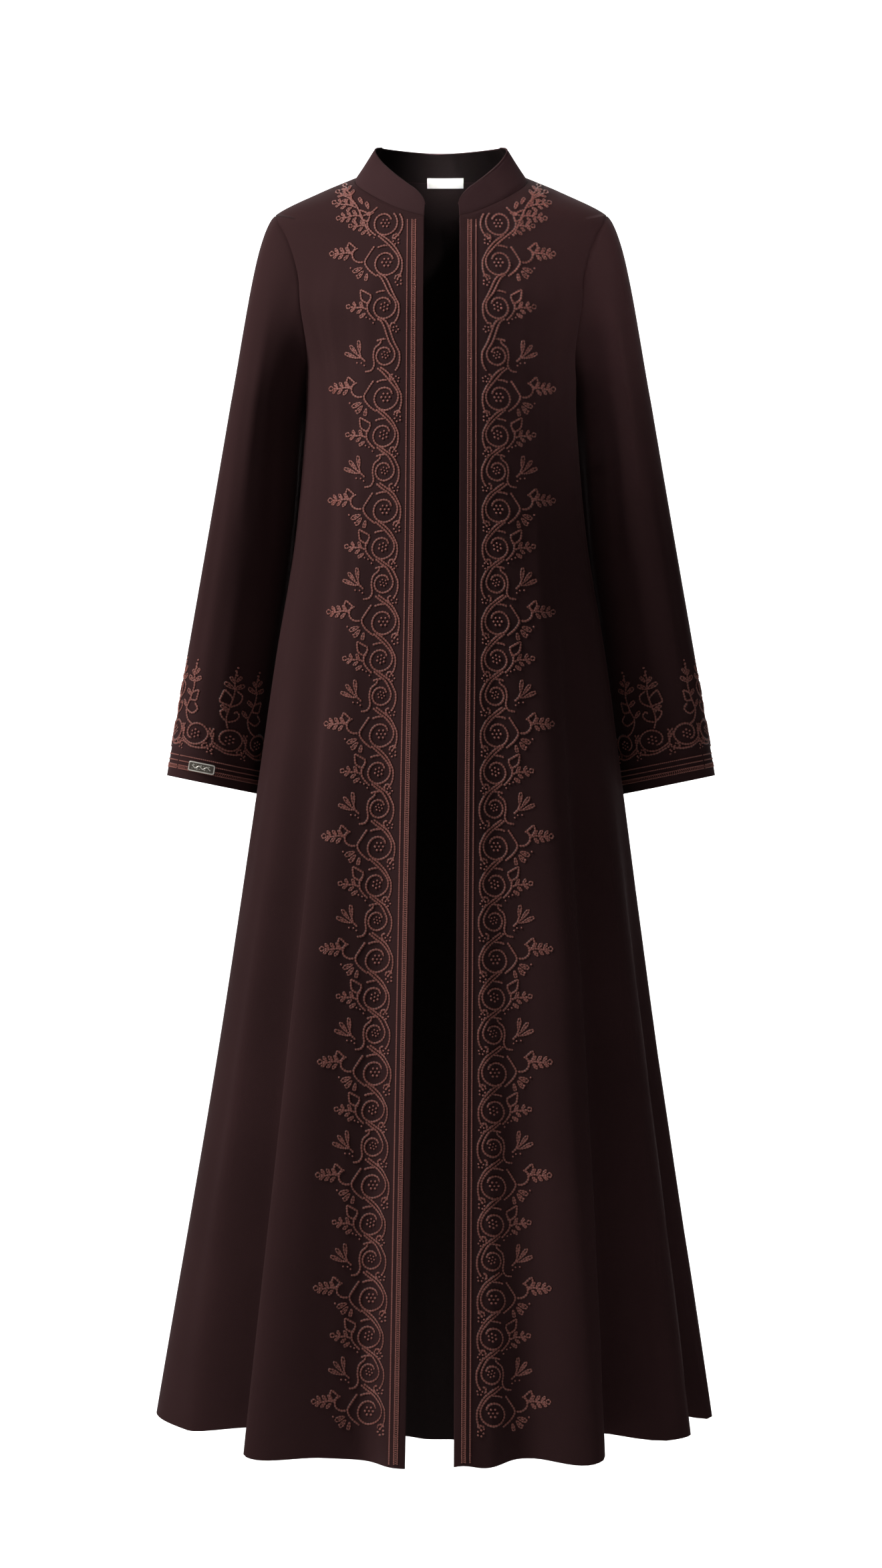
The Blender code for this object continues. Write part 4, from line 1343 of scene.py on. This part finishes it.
def label_sheet(collar_inner):
    """The bare label, over the collar seam on the inside of the back."""
    half_width = 0.5 * LABEL_WIDTH
    x = edge_spaced(LABEL_STEPS, True, True, LABEL_WIDTH) * LABEL_WIDTH - half_width
    seam_row, higher_row = collar_inner[0], collar_inner[4]
    near = (np.abs(seam_row[:, 0]) < half_width + LABEL_MARGIN) & (seam_row[:, 1] > 0.0)
    seam, raised = (
        np.stack([np.interp(x + LABEL_MIDDLE_X, row[near, 0], row[near, k]) for k in range(3)], 1)
        for row in (seam_row, higher_row)
    )
    above = np.array(LABEL_ROWS_ABOVE)[:, None, None] * LABEL_ABOVE_SEAM
    on_collar = seam + above * unit(raised - seam)
    below = np.array(LABEL_ROWS_BELOW)[:, None] * LABEL_BELOW_SEAM
    heights = neck_height(CENTRE_BACK_ANGLE) - below + 0.0 * x
    aside = np.abs(x + LABEL_MIDDLE_X) + 0.0 * heights
    angles = CENTRE_BACK_ANGLE - np.degrees(np.arctan2(aside, BODY["back_depth"](heights)))
    # Step towards the angles at which the back is this far aside
    angle_step, least_slope, longest_move = 0.5, 0.3, 4.0
    for _ in range(10):
        here = body_point(angles, heights)[..., 0]
        slope = (body_point(angles - angle_step, heights)[..., 0] - here) / angle_step
        move = (aside - here) / np.maximum(slope, least_slope)
        angles = angles - np.clip(move, -longest_move, longest_move)
    angles = np.where(x + LABEL_MIDDLE_X < 0.0, -angles, angles)
    on_back = body_point(angles, heights) - CLOTH_THICKNESS * body_normal(angles, heights)
    face = np.concatenate([on_collar, on_back])
    into_neck = grid_normals(face, turns_close=False)
    into_neck *= -np.sign(into_neck[..., 1:2])
    down = run_lengths(face, 0)
    near_edge = np.minimum(np.minimum(down, down[-1:] - down), half_width - np.abs(x))
    bulge = LABEL_BULGE * bell((down - 0.5 * down[-1:]) / LABEL_BULGE_REACH)
    face_lift = LABEL_FACE_LIFT + bulge - groove(near_edge, *LABEL_STITCH)
    front = face + face_lift[..., None] * into_neck
    back = face + (LABEL_BACK_LIFT + bulge)[..., None] * into_neck
    return front, back, np.stack([x + 0.0 * down, -down], axis=-1)


def plate_place(side, flat):
    """Points and normals on the sleeve under the plate, from places on the plate's own face."""
    radius = 0.5 * (SLEEVE_SECTIONS[-1][0] - SLEEVE_SECTIONS[-1][2])
    turn = PLATE_ANGLE - np.degrees(flat[:, 0] / radius)
    return sleeve_place(side, turn, 1.0 - (PLATE_ABOVE_CUFF + flat[:, 1]) / SLEEVE_LENGTH)


def plate_outline(direction, inset):
    """The plate's rectangle with round corners, drawn in by an inset."""
    size = 0.5 * np.array([PLATE_LENGTH, PLATE_WIDTH]) - inset
    corner = max(PLATE_CORNER - inset, PLATE_LEAST_CORNER)
    reach = 1.0 / np.max(np.abs(direction) / size, axis=1)
    box_point = direction * reach[:, None]
    core = np.clip(box_point, corner - size, size - corner)
    offset = box_point - core
    length = np.maximum(np.linalg.norm(offset, axis=1, keepdims=True), 1e-6)
    return np.where(length > 1e-5, core + offset / length * corner, box_point)


def plate_object(side, materials):
    """A bent metal plate with a bevelled rim and a sunk field, and its raised ornament."""
    count = PLATE_OUTLINE_STEPS
    turns = np.linspace(0.0, 2.0 * np.pi, count, endpoint=False)
    direction = np.stack([np.cos(turns), np.sin(turns)], axis=1)
    outlines = [plate_outline(direction, inset) for inset, _ in PLATE_LEVELS[:-1]]
    rings = []
    for flat, (_, lift) in zip([*outlines, direction * PLATE_RIDGE], PLATE_LEVELS):
        face, normal = plate_place(side, flat)
        rings.append(face + lift * normal)
    points = np.concatenate(rings)
    index = np.arange(len(points)).reshape(-1, count)

    def across(ring):
        """Faces from one half of a ring to the other."""
        return [(ring[k], ring[k + 1], ring[-k - 2], ring[-k - 1]) for k in range(count // 2 - 1)]

    sides = cells(closed_round(index))[:, TURNED_OVER]
    faces = np.concatenate([sides, across(index[-1]), np.flip(across(index[0]), 1)])
    if signed_volume(points, faces) < 0.0:
        faces = faces[:, ::-1]
    body = mesh_object("cuff_plate_metal", points, faces, np.zeros((len(faces), 4, 2)), materials)
    field = np.zeros(len(faces), np.int32)
    field[PLATE_FIELD_LEVEL * count : (len(rings) - 1) * count + count // 2 - 1] = 1
    body.data.polygons.foreach_set("material_index", field)

    def on_plate(flat):
        face, normal = plate_place(side, flat)
        return face + ORNAMENT_LIFT * normal, normal

    ornament = Needlework(on_plate)
    along = np.linspace(-ORNAMENT_HALF_LENGTH, ORNAMENT_HALF_LENGTH, 60)
    wave = ORNAMENT_WAVE_HEIGHT * np.sin(2.0 * np.pi * along / ORNAMENT_WAVE_LENGTH)
    ornament.thread(np.stack([along, wave], axis=1), ORNAMENT_RADIUS, ORNAMENT_STEP)
    for k in range(5):
        middle = (k - 2) * 0.5 * ORNAMENT_WAVE_LENGTH
        lean = 1.0 if k % 2 == 0 else -1.0
        ornament.mound((middle, 2.4 * lean), 30.0 * lean, 2.4, 1.0, 0.3)
        ornament.mound((middle + 1.7, -2.3 * lean), -30.0 * lean, 1.0, 1.0, 0.28)
    return body, ornament.object("cuff_plate_ornament", materials)


class Surface:
    """A material, and the nodes that feed its shader."""

    def __init__(self, name, **sockets):
        self.material = bpy.data.materials.new(name)
        self.material.use_nodes = True
        self.tree = self.material.node_tree
        self.shader = self.tree.nodes["Principled BSDF"]
        self.feed(self.shader, **sockets)

    def feed(self, node, *in_order, **by_name):
        """Set or link a node's sockets, given in their order or by name."""
        named = {name.replace("_", " "): value for name, value in by_name.items()}
        for key, value in [*enumerate(in_order), *named.items()]:
            if isinstance(value, bpy.types.NodeSocket):
                self.tree.links.new(value, node.inputs[key])
            else:
                node.inputs[key].default_value = value

    def add(self, kind, *in_order, settings=None, **by_name):
        """Add a node, and return the output that its kind is used for."""
        node = self.tree.nodes.new(kind)
        for key, value in (settings or {}).items():
            setattr(node, key, value)
        self.feed(node, *in_order, **by_name)
        return node.outputs[NODE_OUTPUTS[kind]]

    def calculate(self, operation, *values):
        return self.add("ShaderNodeMath", *values, settings={"operation": operation})

    def wave(self, direction, **sockets):
        return self.add("ShaderNodeTexWave", settings={"bands_direction": direction}, **sockets)

    def cloth_millimetres(self):
        """The cloth's own coordinates, in millimetres."""
        cloth = self.add("ShaderNodeUVMap", settings={"uv_map": "cloth"})
        return self.add("ShaderNodeMapping", cloth, Scale=(1.0 / MM, 1.0 / MM, 1.0))

    def tint(self, by, dark, light, start=0.0, end=1.0):
        """Colour the shader from dark to light, as a value goes from start to end."""
        tinted = self.add("ShaderNodeValToRGB", by)
        stops = tinted.node.color_ramp.elements
        for stop, position, shade in zip(stops, (start, end), (dark, light)):
            stop.position, stop.color = position, (*shade, 1.0)
        self.feed(self.shader, Base_Color=tinted)

    def bump(self, height, strength, distance):
        bumped = self.add("ShaderNodeBump", Height=height, Strength=strength, Distance=distance)
        self.feed(self.shader, Normal=bumped)


def crepe(name, dark, light, sheen):
    """Matt crepe: a fine plain weave of hard-twisted, uneven threads."""
    surface = Surface(
        name,
        Roughness=0.86,
        Sheen_Weight=sheen,
        Sheen_Roughness=0.45,
        Sheen_Tint=(0.80, 0.42, 0.40, 1.0),
        Specular_IOR_Level=0.10,
    )
    at = surface.cloth_millimetres()
    warp, weft = (
        surface.wave(
            direction, Vector=at, Scale=scale, Distortion=uneven, Detail=1.0, Detail_Scale=detail
        )
        for direction, scale, uneven, detail in CREPE_YARNS
    )
    weave = surface.calculate("MULTIPLY", warp, weft)
    grain = surface.add("ShaderNodeTexNoise", Vector=at, Scale=0.85, Detail=3.0, Roughness=0.6)
    place = surface.add("ShaderNodeTexCoord")
    broad = surface.add("ShaderNodeTexNoise", Vector=place, Scale=5.0, Detail=3.0, Roughness=0.5)
    grain_share, weave_share, broad_share = 1.4, 0.28, 0.55
    heights = surface.calculate("MULTIPLY_ADD", grain, grain_share, weave)
    faded = surface.calculate("MULTIPLY", broad, broad_share)
    mixed = surface.calculate("MULTIPLY_ADD", heights, weave_share, faded)
    surface.tint(mixed, dark, light, 0.2, 0.9)
    surface.bump(heights, 0.35, 0.0004)
    return surface.material


def embroidery_thread():
    """Twisted thread: a slanted bump along its length, patches that catch more light, and painted
    shade along its feet on the cloth.
    """
    surface = Surface(
        "embroidery_thread",
        Roughness=0.5,
        Sheen_Weight=0.06,
        Sheen_Roughness=0.35,
        Sheen_Tint=(1.0, 0.5, 0.4, 1.0),
        Specular_IOR_Level=0.3,
    )
    at = surface.cloth_millimetres()
    twist = surface.wave("DIAGONAL", Vector=at, Scale=0.34, Distortion=0.6, Detail=1.0)
    stitch = surface.wave("X", Vector=at, Scale=math.pi / 10.0 / STITCH_LENGTH)
    place = surface.add("ShaderNodeTexCoord")
    patches = surface.add(
        "ShaderNodeTexNoise", Vector=place, Scale=330.0, Detail=2.0, Roughness=0.6
    )
    # Painted shade: the colour darkens towards the thread's feet and each mound's foot, where it
    # meets the cloth
    from_foot = surface.calculate("SUBTRACT", 0.5, surface.add("ShaderNodeSeparateXYZ", at))
    unshaded_crown = surface.add(
        "ShaderNodeMapRange",
        settings={"interpolation_type": "SMOOTHSTEP"},
        Value=surface.calculate("ABSOLUTE", from_foot),
        From_Min=0.14,
        From_Max=0.31,
    )
    patch_share, stitch_share = 0.95, 0.45
    faded = surface.calculate("MULTIPLY", patches, patch_share)
    lit = surface.calculate("MULTIPLY_ADD", stitch, stitch_share, faded)
    mixed = surface.calculate("MULTIPLY", unshaded_crown, lit)
    surface.tint(mixed, (0.009, 0.0036, 0.0032), (0.31, 0.112, 0.092), 0.05, 0.85)
    surface.bump(twist, 0.5, 0.0003)
    return surface.material


def label_tape():
    """Smooth off-white woven tape."""
    surface = Surface("label_tape", Roughness=0.62, Sheen_Weight=0.1, Specular_IOR_Level=0.3)
    rib = surface.wave("Y", Vector=surface.cloth_millimetres(), Scale=0.9, Distortion=0.3)
    surface.tint(rib, (0.80, 0.79, 0.77), (0.93, 0.92, 0.90))
    surface.bump(rib, 0.2, 0.0002)
    return surface.material


def plate_metal(name, dark, light):
    """Satin metal with faint brushing and smudges."""
    surface = Surface(name, Metallic=0.35, Base_Color=(*light, 1.0))
    place = surface.add("ShaderNodeTexCoord")
    stretched = surface.add("ShaderNodeMapping", place, Scale=(60.0, 60.0, 2200.0))
    brushed, smudges = (
        surface.add("ShaderNodeTexNoise", Vector=at, Scale=scale, Detail=3.0, Roughness=0.6)
        for at, scale in ((stretched, 1.0), (place, 160.0))
    )
    rough = surface.add("ShaderNodeMapRange", Value=smudges, To_Min=0.24, To_Max=0.42)
    surface.feed(surface.shader, Roughness=rough)
    surface.tint(brushed, dark, light)
    surface.bump(brushed, 0.15, 0.0001)
    return surface.material


def studio_paint():
    """Pale paint that is clear from behind, so the back can be looked at through it."""
    surface = Surface("studio_floor", Roughness=0.9, Specular_IOR_Level=0.1)
    place = surface.add("ShaderNodeTexCoord")
    cloud = surface.add("ShaderNodeTexNoise", Vector=place, Scale=0.8, Detail=2.0)
    surface.tint(cloud, (0.90, 0.90, 0.90), (0.93, 0.93, 0.93))
    one_sided = surface.add(
        "ShaderNodeMixShader",
        surface.add("ShaderNodeNewGeometry"),
        surface.shader.outputs["BSDF"],
        surface.add("ShaderNodeBsdfTransparent"),
    )
    surface.feed(surface.tree.nodes["Material Output"], Surface=one_sided)
    return surface.material


def add_camera():
    data = bpy.data.cameras.new("camera")
    data.sensor_width = 36.0
    data.lens = CAMERA_LENS
    data.clip_end = 100.0
    camera = linked("camera", data)
    camera.location = CAMERA_PLACE
    camera.rotation_euler = (math.radians(90.0), 0.0, 0.0)
    bpy.context.scene.camera = camera


def add_area_light(name, place, target, size, watts, tint, spread):
    data = bpy.data.lights.new(name, "AREA")
    data.spread = math.radians(spread)
    data.shape = "RECTANGLE"
    data.size, data.size_y = size
    data.energy = watts
    data.color = tint
    light = linked(name, data)
    light.location = place
    toward = Vector(target) - Vector(place)
    light.rotation_mode = "QUATERNION"
    light.rotation_quaternion = toward.to_track_quat("-Z", "Y")


def add_studio():
    """A pale floor that sweeps up into a backdrop, soft lights and an even pale surround."""
    profile = [(FLOOR_START_Y, FLOOR_HEIGHT)]
    for turn in np.linspace(0.0, 0.5 * np.pi, SWEEP_STEPS):
        y = BACKDROP_Y - SWEEP_RADIUS + SWEEP_RADIUS * math.sin(turn)
        profile.append((y, FLOOR_HEIGHT + SWEEP_RADIUS * (1.0 - math.cos(turn))))
    profile.append((BACKDROP_Y, BACKDROP_TOP))
    points = [(x, y, z) for y, z in profile for x in (-FLOOR_HALF_WIDTH, FLOOR_HALF_WIDTH)]
    faces = [(k, k + 1, k + 3, k + 2) for k in range(0, len(points) - 2, 2)]
    mesh = bpy.data.meshes.new("studio_floor")
    mesh.from_pydata(points, [], faces)
    mesh.shade_smooth()
    mesh.materials.append(studio_paint())
    linked("studio_floor", mesh)

    for row in LIGHTS:
        add_area_light(*row)
    world = bpy.data.worlds.new("studio")
    world.use_nodes = True
    tree = world.node_tree
    background = tree.nodes["Background"]
    background.inputs["Color"].default_value = (*WHITE, 1.0)
    seen = tree.nodes.new("ShaderNodeLightPath")
    strength = tree.nodes.new("ShaderNodeMapRange")
    strength.inputs["To Min"].default_value = SURROUND_LIT
    strength.inputs["To Max"].default_value = SURROUND_SEEN
    tree.links.new(seen.outputs["Is Camera Ray"], strength.inputs["Value"])
    tree.links.new(strength.outputs["Result"], background.inputs["Strength"])
    bpy.context.scene.world = world
    bpy.context.scene.view_settings.view_transform = "Standard"


def dress(piece, node=None):
    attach(piece, "root")
    if node:
        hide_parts(node)
    return piece


def build_looks():
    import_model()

    outer, painted_shade_inside, *collar_cloth = (crepe(*row) for row in CREPES)
    thread = embroidery_thread()
    tape = label_tape()
    metals = tuple(plate_metal(*row) for row in METALS)
    # The inner faces take the darker crepe, which is painted shade
    cloth = (outer, painted_shade_inside)

    for side, name in SIDES:
        piece = shell(f"cloth_front_{name}", *body_sheet(side, "front", FRONT_STEPS), cloth)
        dress(piece, f"front_{name}")
    left, right = (body_sheet(side, "back", BACK_HALF_STEPS) for side, _ in SIDES)
    back = [np.concatenate([a[:, ::-1], b[:, 1:]], axis=1) for a, b in zip(left, right)]
    dress(shell("cloth_back", *back, cloth), "back")
    for side, name in SIDES:
        piece = shell(f"cloth_sleeve_{name}", *sleeve_sheet(side), cloth, turns_close=True)
        dress(piece, f"sleeve_{name}")
    collar = collar_sheet()
    piece = shell("cloth_collar", *collar, collar_cloth)
    dress(piece, "collar")
    piece = shell("label_tape", *label_sheet(collar[1]), (tape,))
    dress(piece, "neck_label")
    plate, ornament = plate_object(PLATE_SIDE, metals)
    dress(plate, "cuff_plate")
    dress(ornament, None)

    borders = {}
    for side, name in SIDES:
        borders[name] = [dress(piece) for piece in front_border(side, name, (thread,))]
        borders[name].append(dress(cuff_border(side, name, (thread,))))

    add_camera()
    add_studio()


build_looks()
